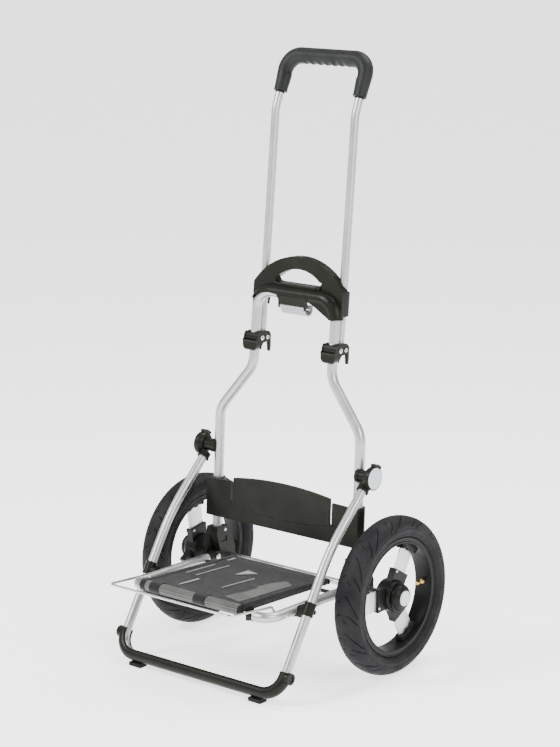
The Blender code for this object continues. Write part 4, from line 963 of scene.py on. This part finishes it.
def hinge(side, tag):
    """Stand hinge: boss on the upright, turning socket, pale button and a rivet through the upright."""
    y = upright_y(HINGE_Z)
    flange = bar((LOWER_X + 0.002, LOWER_X + 0.01), HINGE_Y, HINGE_Z, BOSS_RADIUS + 0.0012)
    stub = bar((LOWER_X + 0.002, DISC_IN - GAP), HINGE_Y, HINGE_Z, BOSS_RADIUS)
    spindle = bar((DISC_IN - 0.004, 0.1998), HINGE_Y, HINGE_Z, 0.006)
    bore = rod((LOWER_X, y, HINGE_Z - 0.03), (LOWER_X, y, HINGE_Z + 0.03), MAIN_RADIUS + GAP)
    shear_back(bore, LOWER_LEAN, HINGE_Z)
    moulding(f"hinge_boss_{tag}_fine", "frame", "black_plastic", [flange, stub, spindle], [bore],
             [f"hinge_boss_{tag}"], side)
    rivet = dome((LOWER_X - MAIN_RADIUS + 0.0004, y, HINGE_Z), (-1, 0, 0), 0.003, 0.0012)
    piece(f"upright_rivet_{tag}", rivet, "frame", "steel", side=side)
    profile = [(0.19, 0), (0.19, 0.0132), (0.1908, 0.0155), (0.1928, 0.0184), (DISC_IN, 0.0208),
               (DISC_IN + 0.001, DISC_RADIUS), (DISC_OUT - 0.0012, DISC_RADIUS),
               (DISC_OUT - 0.0004, 0.0212),
               (DISC_OUT, 0.0206), (DISC_OUT, 0)]
    disc = lathe(profile, (0, HINGE_Y, HINGE_Z), (1, 0, 0), 64)
    start = SOCKET_MOUTH - SOCKET_AIM * 0.0115
    steps = 8
    flare = [(0.0105 * i / steps, 0.0108 + 0.0009 * (i / steps) ** 3) for i in range(steps + 1)]
    arm = lathe([(0, 0), *flare, (0.0105, 0)], start, SOCKET_AIM)
    lip = lathe([(-0.003, 0), (-0.003, 0.0112), (-0.0016, 0.0118), (0, 0.0118), (0, 0)], SOCKET_MOUTH,
                SOCKET_AIM)
    nose_outer = arc((HINGE_Y, HINGE_Z), 0.0262, 40, 92, 14)
    nose_inner = arc((HINGE_Y, HINGE_Z), 0.0205, 92, 40, 14)
    hood = prism(nose_outer + nose_inner, "x", DISC_IN + 0.0005, DISC_OUT - 0.0005)
    cuts = [
        bar((0.17, DISC_IN), HINGE_Y, HINGE_Z, BOSS_RADIUS + 0.0006),
        bar((0.18, 0.215), HINGE_Y, HINGE_Z, 0.0064),
        bar((0.2002, 0.215), HINGE_Y, HINGE_Z, BUTTON_RADIUS + GAP, 64),
        rod(SOCKET_MOUTH - SOCKET_AIM * 0.0103, SOCKET_MOUTH + SOCKET_AIM * 0.01, LEG_RADIUS + GAP),
    ]
    moulding(f"leg_socket_{tag}_fine", "stand", "black_plastic", [disc, arm, lip, hood], cuts,
             [f"leg_socket_{tag}"], side)
    profile = [(0.2035, 0), (0.2035, BUTTON_RADIUS), (0.2061, BUTTON_RADIUS),
               (0.2066, BUTTON_RADIUS - 0.0003),
               (BUTTON_OUT, BUTTON_RADIUS - 0.001), (BUTTON_OUT, BUTTON_RADIUS - 0.0032),
               (BUTTON_OUT - 0.0004, BUTTON_RADIUS - 0.0036), (BUTTON_OUT - 0.0004, 0)]
    button = lathe(profile, (0, HINGE_Y, HINGE_Z), (1, 0, 0), 64)
    piece(f"hinge_button_{tag}_fine", button, f"stand_button_{tag}", "grey_plastic",
          [f"hinge_button_{tag}"], side)


def shelf_swing():
    """Outline, in (y, z), of the space the shelf tube passes through as it folds up."""
    turn = math.radians(75)
    along = Vector((-math.cos(turn), math.sin(turn)))
    room = 0.0112
    end = Vector((SHELF_PIVOT_Y, SHELF_Z)) + Vector((along.y, -along.x)) * room + along * 0.06
    around = arc((SHELF_PIVOT_Y, SHELF_Z), room, -90, 15, 16)
    return [(-0.08, SHELF_Z - room), *around, tuple(end), (-0.08, end.y)]


def axle_bracket(side, tag):
    """Moulded foot of the upright: socket on top, axle bore below, cheek for the shelf pivot in front."""
    outline = [(-0.035, 0.206), (-0.005, 0.206), (0.004, 0.19), (0.0165, 0.16)]
    outline += arc((0, AXLE_Z), 0.0165, 20, -90, 16)
    outline += [(-0.04, 0.1345), *arc((SHELF_PIVOT_Y, SHELF_Z), 0.013, 240, 150, 12), (-0.037, 0.172)]
    inner = LOWER_X - 0.0135
    outer = LOWER_X + 0.013
    body = prism(outline, "x", inner, outer)
    foot = UPRIGHT_FOOT_Z - GAP
    cuts = [
        bar((inner - 0.01, 0.1703), SHELF_PIVOT_Y, SHELF_Z, 0.0112),
        prism(shelf_swing(), "x", inner - 0.01, 0.1703),
        box((inner - 0.01, 0.1703), (-0.06, SHELF_PIVOT_Y + 0.008), (0.12, SHELF_Z - 0.004)),
        bar((inner - 0.01, outer + 0.01), SHELF_PIVOT_Y, SHELF_Z, 0.0036),
        bar((inner - 0.01, outer + 0.01), 0, AXLE_Z, AXLE_RADIUS + GAP),
        rod((LOWER_X, upright_y(foot), foot), (LOWER_X, upright_y(0.215), 0.215), MAIN_RADIUS + GAP),
        box((outer - 0.0015, outer + 0.01), (-0.026, -0.008), (0.16, 0.186)),
        box((inner - 0.01, inner + 0.0015), (-0.026, -0.008), (0.176, 0.186)),
    ]
    moulding(f"axle_bracket_{tag}_fine", "frame", "black_plastic", [body], cuts, [f"axle_bracket_{tag}"],
             side)
    profile = [(0.1478, 0), (0.1478, 0.0048), (0.1484, 0.0058), (0.1498, 0.0058), (0.1498, 0.0034),
               (0.1782, 0.0034), (0.1782, 0)]
    piece(f"shelf_pivot_{tag}_fine", lathe(profile, (0, SHELF_PIVOT_Y, SHELF_Z), (1, 0, 0)), "frame",
          "steel",
          [f"shelf_pivot_{tag}"], side)
    screw = dome((inner + 0.0003, -0.012, 0.198), (-1, 0, 0), 0.0032, 0.0014)
    piece(f"bracket_screw_{tag}", screw, "frame", "steel", side=side)


# ---------------------------------------------------------------- stand


def foot_cover():
    """Gutter round the foot bar and up both corners, with a round boss at each end."""
    right = [tuple(leg_point(0.056)), tuple(FOOT_CORNER)]
    path = fillet(mirrored(right), [0.0359, 0.0359], 16)
    sleeve = sweep(path, COVER_FOOT_RADIUS, 0, 40)
    centre = leg_point(0.049)
    bosses = [bar((x, x + reach), centre.y, centre.z, 0.0105)
              for x, reach in ((LEG_X, 0.0148), (-LEG_X, -0.0148))]
    dimples = [bar((x, x + reach), centre.y, centre.z, 0.0062)
               for x, reach in ((LEG_X + 0.0134, 0.01), (-LEG_X - 0.0134, -0.01))]
    bore = sweep(leg_path(), LEG_RADIUS + GAP, 0, ROUND)
    offset = 0.0125
    high = leg_point(0.085) - Vector((offset, 0, 0))
    up = (LEG_BEND - FOOT_CORNER).normalized() * offset
    inside = [tuple(high), tuple(FOOT_CORNER - Vector((offset, 0, 0)) + up)]
    turn = FOOT_CORNER_RADIUS - offset
    open_side = sweep(fillet(mirrored(inside), [turn, turn], 16), 0.0106, 0, 28)
    moulding("foot_cover_fine", "stand", "black_plastic", [sleeve, *bosses], [bore, open_side, *dimples],
             ["foot_cover"])


def foot_pad(side, tag):
    """Rubber pad under the foot bar, grooved below."""
    y = FOOT_CORNER.y
    top = FOOT_CORNER.z - COVER_FOOT_RADIUS - GAP
    outline = [(y - 0.009, 0), (y + 0.009, 0), (y + 0.011, 0.003), (y + 0.011, top), (y - 0.011, top),
               (y - 0.011, 0.003)]
    grooves = [box((PAD_X + x - 0.0008, PAD_X + x + 0.0008), (y - 0.02, y + 0.02), (-0.01, 0.0012))
               for x in (-0.0075, -0.0025, 0.0025, 0.0075)]
    moulding(f"foot_pad_{tag}_fine", "stand", "foot_rubber", [prism(outline, "x", PAD_X - 0.013,
                                                                    PAD_X + 0.013)],
             grooves, [f"foot_pad_{tag}"], side, 0.0004)


def shelf_clip(side, tag):
    """Collar on the leg with an open-topped cradle for the shelf tube beside it."""
    middle = leg_point(SHELF_Z + 0.005)
    aim = (LEG_BEND - FOOT_CORNER).normalized()
    profile = [(-0.012, 0), (-0.012, 0.0108), (-0.0112, 0.0112), (-0.009, 0.0112), (-0.0084, 0.0104),
               (0.0084, 0.0104), (0.009, 0.0112), (0.0112, 0.0112), (0.012, 0.0108), (0.012, 0)]
    collar = lathe(profile, middle, aim)
    outline = arc((SHELF_X, SHELF_Z), 0.0116, 170, 300, 20)
    outline += [(LEG_X - 0.004, SHELF_Z - 0.01), (LEG_X - 0.004, SHELF_Z + 0.008),
                (SHELF_X + 0.009, SHELF_Z + 0.01)]
    arm = prism(outline, "y", middle.y - 0.008, middle.y + 0.008)
    hooks = []
    for height in (-0.008, 0.0045):
        hook = arc((middle.y + 0.0125, middle.z + height), 0.0045, -90, 90, 8)
        hook += arc((middle.y + 0.0125, middle.z + height), 0.0024, 90, -90, 8)
        hooks.append(prism(hook, "x", LEG_X - 0.003, LEG_X + 0.003))
    channel = rod((SHELF_X, -0.3, SHELF_Z), (SHELF_X, 0, SHELF_Z), SHELF_RADIUS + GAP)
    throat = box((SHELF_X - SHELF_RADIUS - GAP, SHELF_X + SHELF_RADIUS + GAP), (-0.3, 0),
                 (SHELF_Z, SHELF_Z + 0.03))
    bore = rod(middle - aim * 0.03, middle + aim * 0.03, LEG_RADIUS + GAP)
    moulding(f"shelf_clip_{tag}_fine", "stand", "black_plastic", [collar, arm, *hooks],
             [channel, throat, bore],
             [f"shelf_clip_{tag}"], side, 0.0005)


# ---------------------------------------------------------------- shelf


def shelf_fittings(side, tag):
    """Pivot end at the rear of a shelf tube, and the saddle at its front."""
    collar = rod((SHELF_X, SHELF_REAR_Y + GAP, SHELF_Z), (SHELF_X, SHELF_PIVOT_Y - 0.004, SHELF_Z), 0.0096)
    knuckle = bar((0.1513, 0.17), SHELF_PIVOT_Y, SHELF_Z, 0.0104)
    bore = bar((0.14, 0.18), SHELF_PIVOT_Y, SHELF_Z, 0.0036)
    moulding(f"shelf_end_{tag}_fine", "shelf", "black_plastic", [collar, knuckle], [bore],
             [f"shelf_end_{tag}"], side)
    y = SHELF_FRONT_Y
    inner = bar((SHELF_INNER_X - GAP, 0.1175), y, SHELF_Z, 0.0096)
    block = box((TRAY_HALF_WIDTH + GAP, 0.1215), (y - 0.008, y + 0.008),
                (SHELF_Z - 0.0085, SHELF_Z + 0.012))
    moulding(f"shelf_saddle_{tag}_fine", "shelf", "black_plastic", [inner, block], [],
             [f"shelf_saddle_{tag}"], side)


def tray_frame():
    """Side rails, front rod, rear bar and a cross bar that reaches the shelf tubes."""
    under = SHEET + GAP
    outline = [
        (TRAY_ROD_Y + 0.002, TRAY_ROD_Z - 0.006),
        (TRAY_REAR_Y, TRAY_REAR_Z - 0.005),
        (TRAY_REAR_Y, tray_z(TRAY_REAR_Y) - under - 0.0002),
        (TRAY_ROD_Y + 0.002, tray_z(TRAY_ROD_Y) - under - 0.0008),
    ]
    rails = [prism(outline, "x", *sorted((x, x + reach))) for x,
             reach in ((0.105, 0.008), (-0.105, -0.008))]
    half = TRAY_HALF_WIDTH + 0.0003
    cap = half + 0.0022
    profile = [(-cap, 0), (-cap, 0.007), (-cap + 0.0008, 0.0082), (-half, 0.0088), (-half, TRAY_ROD_RADIUS),
               (half, TRAY_ROD_RADIUS), (half, 0.0088), (cap - 0.0008, 0.0082), (cap, 0.007), (cap, 0)]
    front = lathe(profile, (0, TRAY_ROD_Y, TRAY_ROD_Z), (1, 0, 0))
    rear = bar((-0.11, 0.11), TRAY_REAR_Y, TRAY_REAR_Z, TRAY_REAR_RADIUS)
    reach = SHELF_X - SHELF_RADIUS - GAP
    cross_y = -0.066
    cross = box((-reach, reach), (cross_y - 0.004, cross_y + 0.004), (SHELF_Z - 0.004, SHELF_Z + 0.0005))
    web = box((-0.112, 0.112), (-0.166, -0.158), (tray_z(-0.162) - 0.008, tray_z(-0.162) - 0.003))
    moulding("tray_frame_fine", "shelf", "black_plastic", [rails[0], front, rear, rails[1], cross, web], [],
             ["tray_frame"], edge=0.0005)


def cover_line():
    """The cover's line in (y, z), from under the front rod over the top to under the rear bar."""
    front = TRAY_ROD_RADIUS + GAP + SHEET / 2
    rear = TRAY_REAR_RADIUS + GAP + SHEET / 2
    tilt = math.degrees(math.atan2(tray_z(TRAY_ROD_Y) - tray_z(TRAY_REAR_Y), TRAY_REAR_Y - TRAY_ROD_Y))
    start = arc((TRAY_ROD_Y, TRAY_ROD_Z), front, 320, 90 - tilt, 26)
    end = arc((TRAY_REAR_Y, TRAY_REAR_Z), rear, 90 - tilt, -60, 16)
    steps = 90
    y, z = start[-1]
    last_y, last_z = end[0]
    top = [(y + (last_y - y) * i / steps, z + (last_z - z) * i / steps) for i in range(1, steps)]
    return start + top + end, len(start), len(start) + len(top)


def strip(line, x_low, x_high, lift, across):
    """Sheet that follows part of a (y, z) line between two x values, lifted off it."""
    bm = bmesh.new()
    columns = [x_low + (x_high - x_low) * k / across for k in range(across + 1)]
    rows = []
    for before, (y, z), after in zip(line[:1] + line, line, line[1:] + line[-1:]):
        along = Vector((after[0] - before[0], after[1] - before[1])).normalized()
        rows.append([bm.verts.new((x, y - along.y * lift, z + along.x * lift)) for x in columns])
    skin(bm, rows)
    return bm


def thicken(obj, thickness):
    """Give a sheet its thickness, half on each side."""
    solidify = obj.modifiers.new("thickness", "SOLIDIFY")
    solidify.thickness = thickness
    solidify.offset = 0
    bake_modifiers(obj)
    obj.data.shade_smooth()
    obj.data.set_sharp_from_angle(angle=CREASE_ANGLE)


def sag_cover(obj, first_row, last_row, across):
    """Let the flat part of the cover settle between its rods as cloth, held along all its edges."""
    held = obj.vertex_groups.new(name="held")
    columns = across + 1
    for row in range(len(obj.data.vertices) // columns):
        for column in range(columns):
            edge = column in (0, across) or row <= first_row or row >= last_row
            if edge:
                held.add([row * columns + column], 1.0, "REPLACE")
    cloth = obj.modifiers.new("cloth", "CLOTH")
    cloth.settings.vertex_group_mass = "held"
    cloth.settings.mass = 0.2
    cloth.settings.effector_weights.gravity = 0.012
    cloth.settings.tension_stiffness = 60
    cloth.settings.compression_stiffness = 60
    cloth.settings.bending_stiffness = 0.4
    cloth.settings.quality = 6
    cloth.collision_settings.use_collision = False
    cloth.collision_settings.use_self_collision = False
    scene = bpy.context.scene
    for step in range(1, 16):
        scene.frame_set(step)
    bake_modifiers(obj)
    scene.frame_set(1)
    obj.vertex_groups.clear()


# Pale patches of painted highlight on the cover's top, by their (x, y) corners; the broad one takes the pale
# mesh.
PAINTED_HIGHLIGHTS = {
    "highlight_streak_1": [(-0.0935, -0.11), (-0.0905, -0.11), (-0.0895, -0.19), (-0.0925, -0.19)],
    "highlight_streak_2": [(-0.0695, -0.098), (-0.067, -0.098), (-0.0665, -0.19), (-0.069, -0.19)],
    "highlight_streak_3": [(-0.05, -0.205), (-0.044, -0.205), (-0.046, -0.262), (-0.05, -0.25)],
    "highlight_streak_4": [(-0.098, -0.05), (-0.092, -0.05), (-0.092, -0.072), (-0.097, -0.072)],
    "triangle": [(-0.022, -0.098), (0.006, -0.104), (-0.02, -0.136)],
    "highlight_streak_5": [(0.02, -0.132), (0.0225, -0.132), (0.0205, -0.218), (0.018, -0.218)],
    "broad_highlight": [(0.074, -0.104), (0.1, -0.12), (0.1, -0.266), (0.06, -0.258), (0.06, -0.226), (0.066, -0.22),
               (0.066, -0.176), (0.06, -0.168), (0.062, -0.136)],
}


def highlight_patch(name, outline):
    """Pale patch laid on the cover's top, given by (x, y) corners: a painted highlight on the woven fabric.
    """
    bm = extrude([(x, y, tray_z(y) + PATCH_LIFT) for x, y in outline], (0, 0, PATCH_THICKNESS))
    # The broad patch takes the pale mesh and the rest the pale weave, both as painted highlight.
    finish = "mesh_and_highlight_fabric" if name == "broad_highlight" else "painted_highlight_weave"
    return piece(f"tray_{name}", bm, "shelf", finish, slot="woven_fabric")


def side_band(side, tag):
    """Bound edge of the cover over one side rail, and the plug in that end of the hem."""
    bm = bmesh.new()
    rows = []
    for i in range(61):
        y = TRAY_ROD_Y + 0.0085 + (TRAY_REAR_Y - TRAY_ROD_Y - 0.0085) * i / 60
        top = tray_z(y) + 0.0002
        drop = 0.0125 - 0.0035 * (y - TRAY_ROD_Y) / (TRAY_REAR_Y - TRAY_ROD_Y)
        profile = [(TRAY_HALF_WIDTH - 0.011, top), (TRAY_HALF_WIDTH - 0.0018, top),
                   (TRAY_HALF_WIDTH - 0.0004, top - 0.0006), (TRAY_HALF_WIDTH, top - 0.0022),
                   (TRAY_HALF_WIDTH, top - drop * 0.6), (TRAY_HALF_WIDTH - 0.0004, top - drop)]
        rows.append([bm.verts.new((x, y, z)) for x, z in profile])
    skin(bm, rows)
    band = mesh_object(f"side_band_{tag}", bm, side=side)
    thicken(band, 0.0008)
    finish_piece(band, "shelf", "webbing", slot="woven_fabric")
    end = TRAY_HALF_WIDTH - 0.001
    plug = bar((end, end + 0.0016), TRAY_ROD_Y, TRAY_ROD_Z, TRAY_ROD_RADIUS + 0.001)
    piece(f"hem_end_{tag}", plug, "shelf", "black_plastic", side=side, round_edges=0.0006)
    return band


def tray_cover():
    """Woven cover stretched between the rods, with its mesh hem bands, loops and side bands, and pale
    patches of painted highlight on its top.
    """
    line, top_start, top_end = cover_line()
    across = 64
    obj = mesh_object("tray_cover", strip(line, -TRAY_HALF_WIDTH, TRAY_HALF_WIDTH, 0, across))
    sag_cover(obj, top_start, top_end, across)
    thicken(obj, COVER_THICKNESS)
    finish_piece(obj, "shelf", "woven_fabric", ["tray_fabric"])
    bands = (
        ("hem_mesh", "mesh_and_highlight_fabric", line[4:top_start + 1], 0.0008, 0.0004, 12, HEM_MESHES),
        ("hem_loop", "webbing", line[2:top_start + 4], 0.0012, 0.001, 6, HEM_LOOPS),
    )
    extras = []
    for name, finish, part, lift, thickness, columns, spans in bands:
        for number, (low, high) in enumerate(spans, start=1):
            band = mesh_object(f"{name}_{number}", strip(part, low, high, lift, columns))
            thicken(band, thickness)
            extras.append(finish_piece(band, "shelf", finish, slot="woven_fabric"))
    extras += [side_band(side, tag) for side, tag in SIDES]
    extras += [highlight_patch(name, outline) for name, outline in PAINTED_HIGHLIGHTS.items()]
    length = sum(math.dist(a, b) for a, b in zip(line, line[1:]))


# ---------------------------------------------------------------- wheels


def wheel_turn(bm, degrees):
    """Turn a shape made along +Y to its place round the wheel."""
    turn = Matrix.Rotation(math.radians(degrees), 4, "X")
    bmesh.ops.transform(bm, matrix=Matrix.Translation((WHEEL_X, 0, AXLE_Z)) @ turn, verts=bm.verts)
    return bm


def wheel_lathe(profile, segments):
    """(along, radius) profile turned round the wheel's own axis."""
    return lathe(profile, (WHEEL_X, 0, AXLE_Z), (1, 0, 0), segments)


def tyre_profile():
    """Half profile from the crown to the bead, as (x, radius) points with their distance from the crown."""
    crown = 46
    points = []
    for i in range(crown + 1):
        a = math.pi / 2 * i / crown
        x = TYRE_HALF_WIDTH * math.sin(a) ** 0.92
        r = 0.1225 + (WHEEL_RADIUS - 0.1225) * max(0, math.cos(a)) ** 0.8
        points.append((x, r))
    wall = 14
    for i in range(1, wall + 1):
        b = math.pi / 2 * i / wall
        points.append((0.0156 + (TYRE_HALF_WIDTH - 0.0156) * math.cos(b),
                       0.1225 - (0.1225 - 0.109) * math.sin(b)))
    travelled = [0.0]
    for a, b in zip(points, points[1:]):
        travelled.append(travelled[-1] + math.dist(a, b))
    return points, travelled


def valley(distance, half_width):
    """1 in the middle of a groove, falling smoothly to 0 at its edges."""
    share = min(1.0, abs(distance) / half_width)
    return (1 - share * share) ** 2


def tread_depth(angle, reach, side):
    """Depth of the tread at an angle round the tyre and a distance from the crown, on one side of it."""
    pitch = 2 * math.pi / TREAD_REPEATS
    shift = 0.5 * pitch if side < 0 else 0.0
    depth = 0.0
    for low, high, start, turn, bend, half_width, strength in GROOVES:
        if not low < reach < high:
            continue
        share = (reach - low) / (high - low)
        line = (start + turn * share ** bend) * pitch
        away = ((angle + shift - line + pitch / 2) % pitch - pitch / 2) * WHEEL_RADIUS
        ends = max(0, min(1, share / 0.08, (1 - share) / 0.08))
        depth = max(depth, strength * valley(away, half_width) * ends)
    ring = valley(reach - 0.0345, 0.0008) * 0.4
    bead = valley(reach - 0.044, 0.0012) * 0.45
    return GROOVE_DEPTH * max(depth, ring, bead)


def tyre(side, tag):
    """Tyre skin with its tread cut in, closed by a plain bead between the rim's flanges."""
    points, travelled = tyre_profile()
    bead = [(0.015, 0.108), (0.015, 0.1012)]
    half = [(x, r, reach, 1) for (x, r), reach in zip(points, travelled)] + [(x, r, 1, 1) for x, r in bead]
    profile = half[::-1] + [(-x, r, reach, -1) for x, r, reach, _ in half[1:]]
    bm = bmesh.new()
    rings = []
    for k in range(TYRE_SEGMENTS):
        a = 2 * math.pi * k / TYRE_SEGMENTS
        ring = []
        for x, r, reach, hand in profile:
            cut = tread_depth(a, reach, hand)
            outward = min(1, abs(x) / TYRE_HALF_WIDTH)
            radius = r - cut * (0.35 + 0.65 * (1 - outward))
            place = WHEEL_X + x - math.copysign(cut * 0.9 * outward ** 2, x)
            ring.append(bm.verts.new((place, radius * math.cos(a), AXLE_Z + radius * math.sin(a))))
        rings.append(ring)
    for first, second in zip(rings, rings[1:] + rings[:1]):
        stitch(bm, first, second)
    obj = mesh_object(f"tyre_{tag}_fine", bm, side=side)
    finish_piece(obj, f"wheel_{tag}", "tyre_rubber", [f"tyre_{tag}"])


def rim(side, tag):
    """Deep barrel with rolled flanges, and a forked cradle with a round eye for each spoke."""
    edge = RIM_HALF_WIDTH
    half = [(edge - 0.0012, BARREL_RADIUS), (edge - 0.0003, BARREL_RADIUS + 0.0004),
            (edge, BARREL_RADIUS + 0.0014),
            (edge, 0.1), (edge - 0.0009, 0.101), (edge - 0.001, 0.1052), (edge - 0.0002, 0.1062),
            (edge, 0.107), (edge - 0.0002, 0.1079), (edge - 0.001, BEAD_RADIUS), (0.0153, BEAD_RADIUS),
            (0.0153, 0.1005)]
    profile = half + [(-x, r) for x, r in reversed(half)]
    piece(f"rim_{tag}_fine", wheel_lathe(profile, 160), f"wheel_{tag}", "wheel_plastic",
          [f"rim_{tag}"], side)
    for number, degrees in enumerate(SPOKE_ANGLES[side], start=1):
        outline = [(0.0975, -0.024), (0.0975, 0.024)]
        outline += [(0.09, 0.0232)] + arc((0.0868, 0.019), 0.003, 60, 180, 6)
        outline += arc((0.0925, 0.0), 0.0075, 120, 240, 10)
        outline += arc((0.0868, -0.019), 0.003, 180, 300, 6) + [(0.09, -0.0232)]
        cradle = prism(outline, "x", -0.008, 0.008)
        slot = box((-0.0024, 0.0024), (0.08, 0.0955), (-0.0195, 0.0195))
        eyes = [bar((x, x + reach), 0.0895, z, 0.0022, 20)
                for z in (-0.017, 0.017) for x, reach in ((0.0066, 0.01), (-0.0066, -0.01))]
        shapes = [cradle, slot, *eyes]
        for bm in shapes:
            wheel_turn(bm, degrees)
        moulding(f"spoke_cradle_{tag}_{number}", f"wheel_{tag}", "wheel_plastic", [cradle], [slot, *eyes],
                 side=side, edge=0.0007)


def spoke(side, tag, number):
    """Flat metal blade, slightly thicker along its middle."""
    steps = 12
    face = []
    for i in range(steps + 1):
        share = 2 * i / steps - 1
        thick = SPOKE_HALF_THICK * (0.62 + 0.38 * math.cos(math.pi / 2 * share))
        face.append((thick, SPOKE_HALF_WIDTH * share * 0.985))
    outline = face + [(-x, z) for x, z in reversed(face)]
    bm = extrude([(x, SPOKE_ROOT, z) for x, z in outline], (0, SPOKE_LENGTH, 0))
    wheel_turn(bm, SPOKE_ANGLES[side][number - 1])
    piece(f"spoke_{tag}_{number}_fine", bm, f"wheel_{tag}", "spoke_aluminium", [f"spoke_{tag}_{number}"],
          side,
          round_edges=0.0003)


def hub(side, tag):
    """Hub body with a collar round the foot of each spoke, and a rivet through each collar."""
    profile = [(-0.019, 0.015), (-0.0168, 0.023), (-0.015, 0.028), (-0.0138, HUB_RADIUS),
               (0.0098, HUB_RADIUS),
               (0.011, 0.0286), (HUB_OUT - 0.0008, 0.0268), (HUB_OUT, 0.0258), (HUB_OUT, AXLE_RADIUS + GAP),
               (-0.019, AXLE_RADIUS + GAP)]
    shapes = [wheel_lathe(profile, 64)]
    cuts = []
    for degrees in SPOKE_ANGLES[side]:
        outline = [(0.018, -0.0205), (0.018, 0.0205), (0.038, 0.0205), (0.04, 0.0215), (0.046, 0.0215),
                   (0.046, -0.0215), (0.04, -0.0215), (0.038, -0.0205)]
        shapes.append(wheel_turn(prism(outline, "x", -0.0065, 0.0065), degrees))
        cuts.append(wheel_turn(box((-0.0023, 0.0023), (0.033, 0.06), (-0.0193, 0.0193)), degrees))
    moulding(f"hub_{tag}_fine", f"wheel_{tag}", "wheel_plastic", shapes, cuts, [f"hub_{tag}"], side, 0.0016)
    for number, degrees in enumerate(SPOKE_ANGLES[side], start=1):
        for face, x in (("out", 0.0063), ("in", -0.0063)):
            rivet = wheel_turn(dome((x, 0.042, 0.0135), (math.copysign(1, x), 0, 0), 0.0026, 0.0011),
                               degrees)
            piece(f"hub_rivet_{tag}_{number}_{face}", rivet, f"wheel_{tag}", "steel", side=side)


def hub_cap(side, tag):
    """Domed cap with a groove ring and a round recess for the release button."""
    profile = [(HUB_OUT + GAP, 0.0072), (HUB_OUT + GAP, CAP_RADIUS - 0.0004),
               (HUB_OUT + 0.0009, CAP_RADIUS),
               (0.0205, 0.0243), (0.0212, 0.0233), (0.0219, 0.0239), (0.0245, 0.0229), (0.027, 0.0212),
               (0.0292, 0.0188), (0.0305, 0.0168), (CAP_OUT, 0.0152), (CAP_OUT, 0.0145),
               (CAP_OUT - 0.0004, WHEEL_BUTTON_RADIUS + GAP), (CAP_FLOOR, WHEEL_BUTTON_RADIUS + GAP),
               (CAP_FLOOR, 0.0072)]
    piece(f"hub_cap_{tag}_fine", wheel_lathe(profile, 64), f"wheel_{tag}",
          "wheel_plastic", [f"hub_cap_{tag}"], side)
    profile = [(0.0285, 0), (0.0285, WHEEL_BUTTON_RADIUS), (WHEEL_BUTTON_OUT - 0.0006, WHEEL_BUTTON_RADIUS),
               (WHEEL_BUTTON_OUT - 0.0001, WHEEL_BUTTON_RADIUS - 0.0006),
               (WHEEL_BUTTON_OUT, WHEEL_BUTTON_RADIUS - 0.0012), (WHEEL_BUTTON_OUT, 0)]
    piece(f"wheel_button_{tag}_fine", wheel_lathe(profile, 48), f"wheel_button_{tag}",
          "grey_plastic", [f"wheel_button_{tag}"], side)


def valve(side, tag):
    """Air valve that points in from the barrel, with a threaded neck and a knurled cap."""
    root = BARREL_RADIUS - 0.0012
    profile = [(0, 0), (0, 0.0046), (0.0026, 0.0046), (0.003, 0.004), (0.003, 0.003)]
    for turn in range(8):
        along = 0.0036 + turn * 0.001
        profile += [(along, 0.003), (along + 0.0005, 0.0026)]
    profile += [(0.012, 0.0028), (0.012, 0.0036), (0.0126, 0.0038), (0.0182, 0.0036), (0.019, 0.003),
                (0.019, 0)]
    bm = lathe([(root - along, radius) for along, radius in profile], (0, 0, 0), (0, 1, 0), 24)
    piece(f"valve_{tag}_fine", wheel_turn(bm, VALVE_ANGLE[side]), f"wheel_{tag}", "valve_brass",
          [f"valve_{tag}"],
          side)


def wheel(side, tag):
    """All the pieces of one wheel."""
    tyre(side, tag)
    rim(side, tag)
    hub(side, tag)
    for number in (1, 2, 3):
        spoke(side, tag, number)
    hub_cap(side, tag)
    valve(side, tag)


# ---------------------------------------------------------------- stage


def aimed(name, data, place, target):
    """Object for a camera or a lamp, looking from its place at a target."""
    obj = bpy.data.objects.new(name, data)
    obj.location = place
    obj.rotation_mode = "QUATERNION"
    obj.rotation_quaternion = (Vector(target) - Vector(place)).to_track_quat("-Z", "Y")
    bpy.context.scene.collection.objects.link(obj)
    return obj


def camera():
    data = bpy.data.cameras.new("camera")
    data.sensor_width = 36
    data.lens = LENS
    data.clip_start = 0.05
    data.clip_end = 60
    bpy.context.scene.camera = aimed("camera", data, CAMERA_PLACE, CAMERA_TARGET)


def area_light(name, place, target, diameter, power):
    data = bpy.data.lights.new(name, "AREA")
    data.shape = "DISK"
    data.size = diameter
    data.energy = power
    aimed(name, data, place, target)


def stage():
    """Pale floor that glows a little, an even sky and the soft lamps."""
    bm = bmesh.new()
    bmesh.ops.create_grid(bm, x_segments=4, y_segments=4, size=30)
    floor = mesh_object("floor", bm, shift=False)
    made, tree, shader = base_material("pale_floor", (0.9, 0.9, 0.91), 0.7)
    vary_roughness(tree, shader, 3, 0.6, 0.8)
    shader.inputs["Emission Color"].default_value = (1, 1, 1, 1)
    shader.inputs["Emission Strength"].default_value = FLOOR_GLOW
    floor.data.materials.append(made)
    world = bpy.data.worlds.new("studio")
    world.use_nodes = True
    world.node_tree.nodes["Background"].inputs["Color"].default_value = (1, 1, 1, 1)
    world.node_tree.nodes["Background"].inputs["Strength"].default_value = SKY_STRENGTH
    bpy.context.scene.world = world
    for lamp in LAMPS:
        area_light(*lamp)


def build():
    """Every piece of the truck, the middle ones first and then each side's."""
    tubes()
    wire_bail()
    hand_grip()
    cross_panel()
    carry_bracket()
    cart_hook()
    foot_cover()
    tray_frame()
    tray_cover()
    for side, tag in SIDES:
        for sided_part in (clamp, clamp_lever, hinge, axle_bracket, foot_pad, shelf_clip, shelf_fittings,
                           wheel):
            sided_part(side, tag)


camera()
stage()
build()
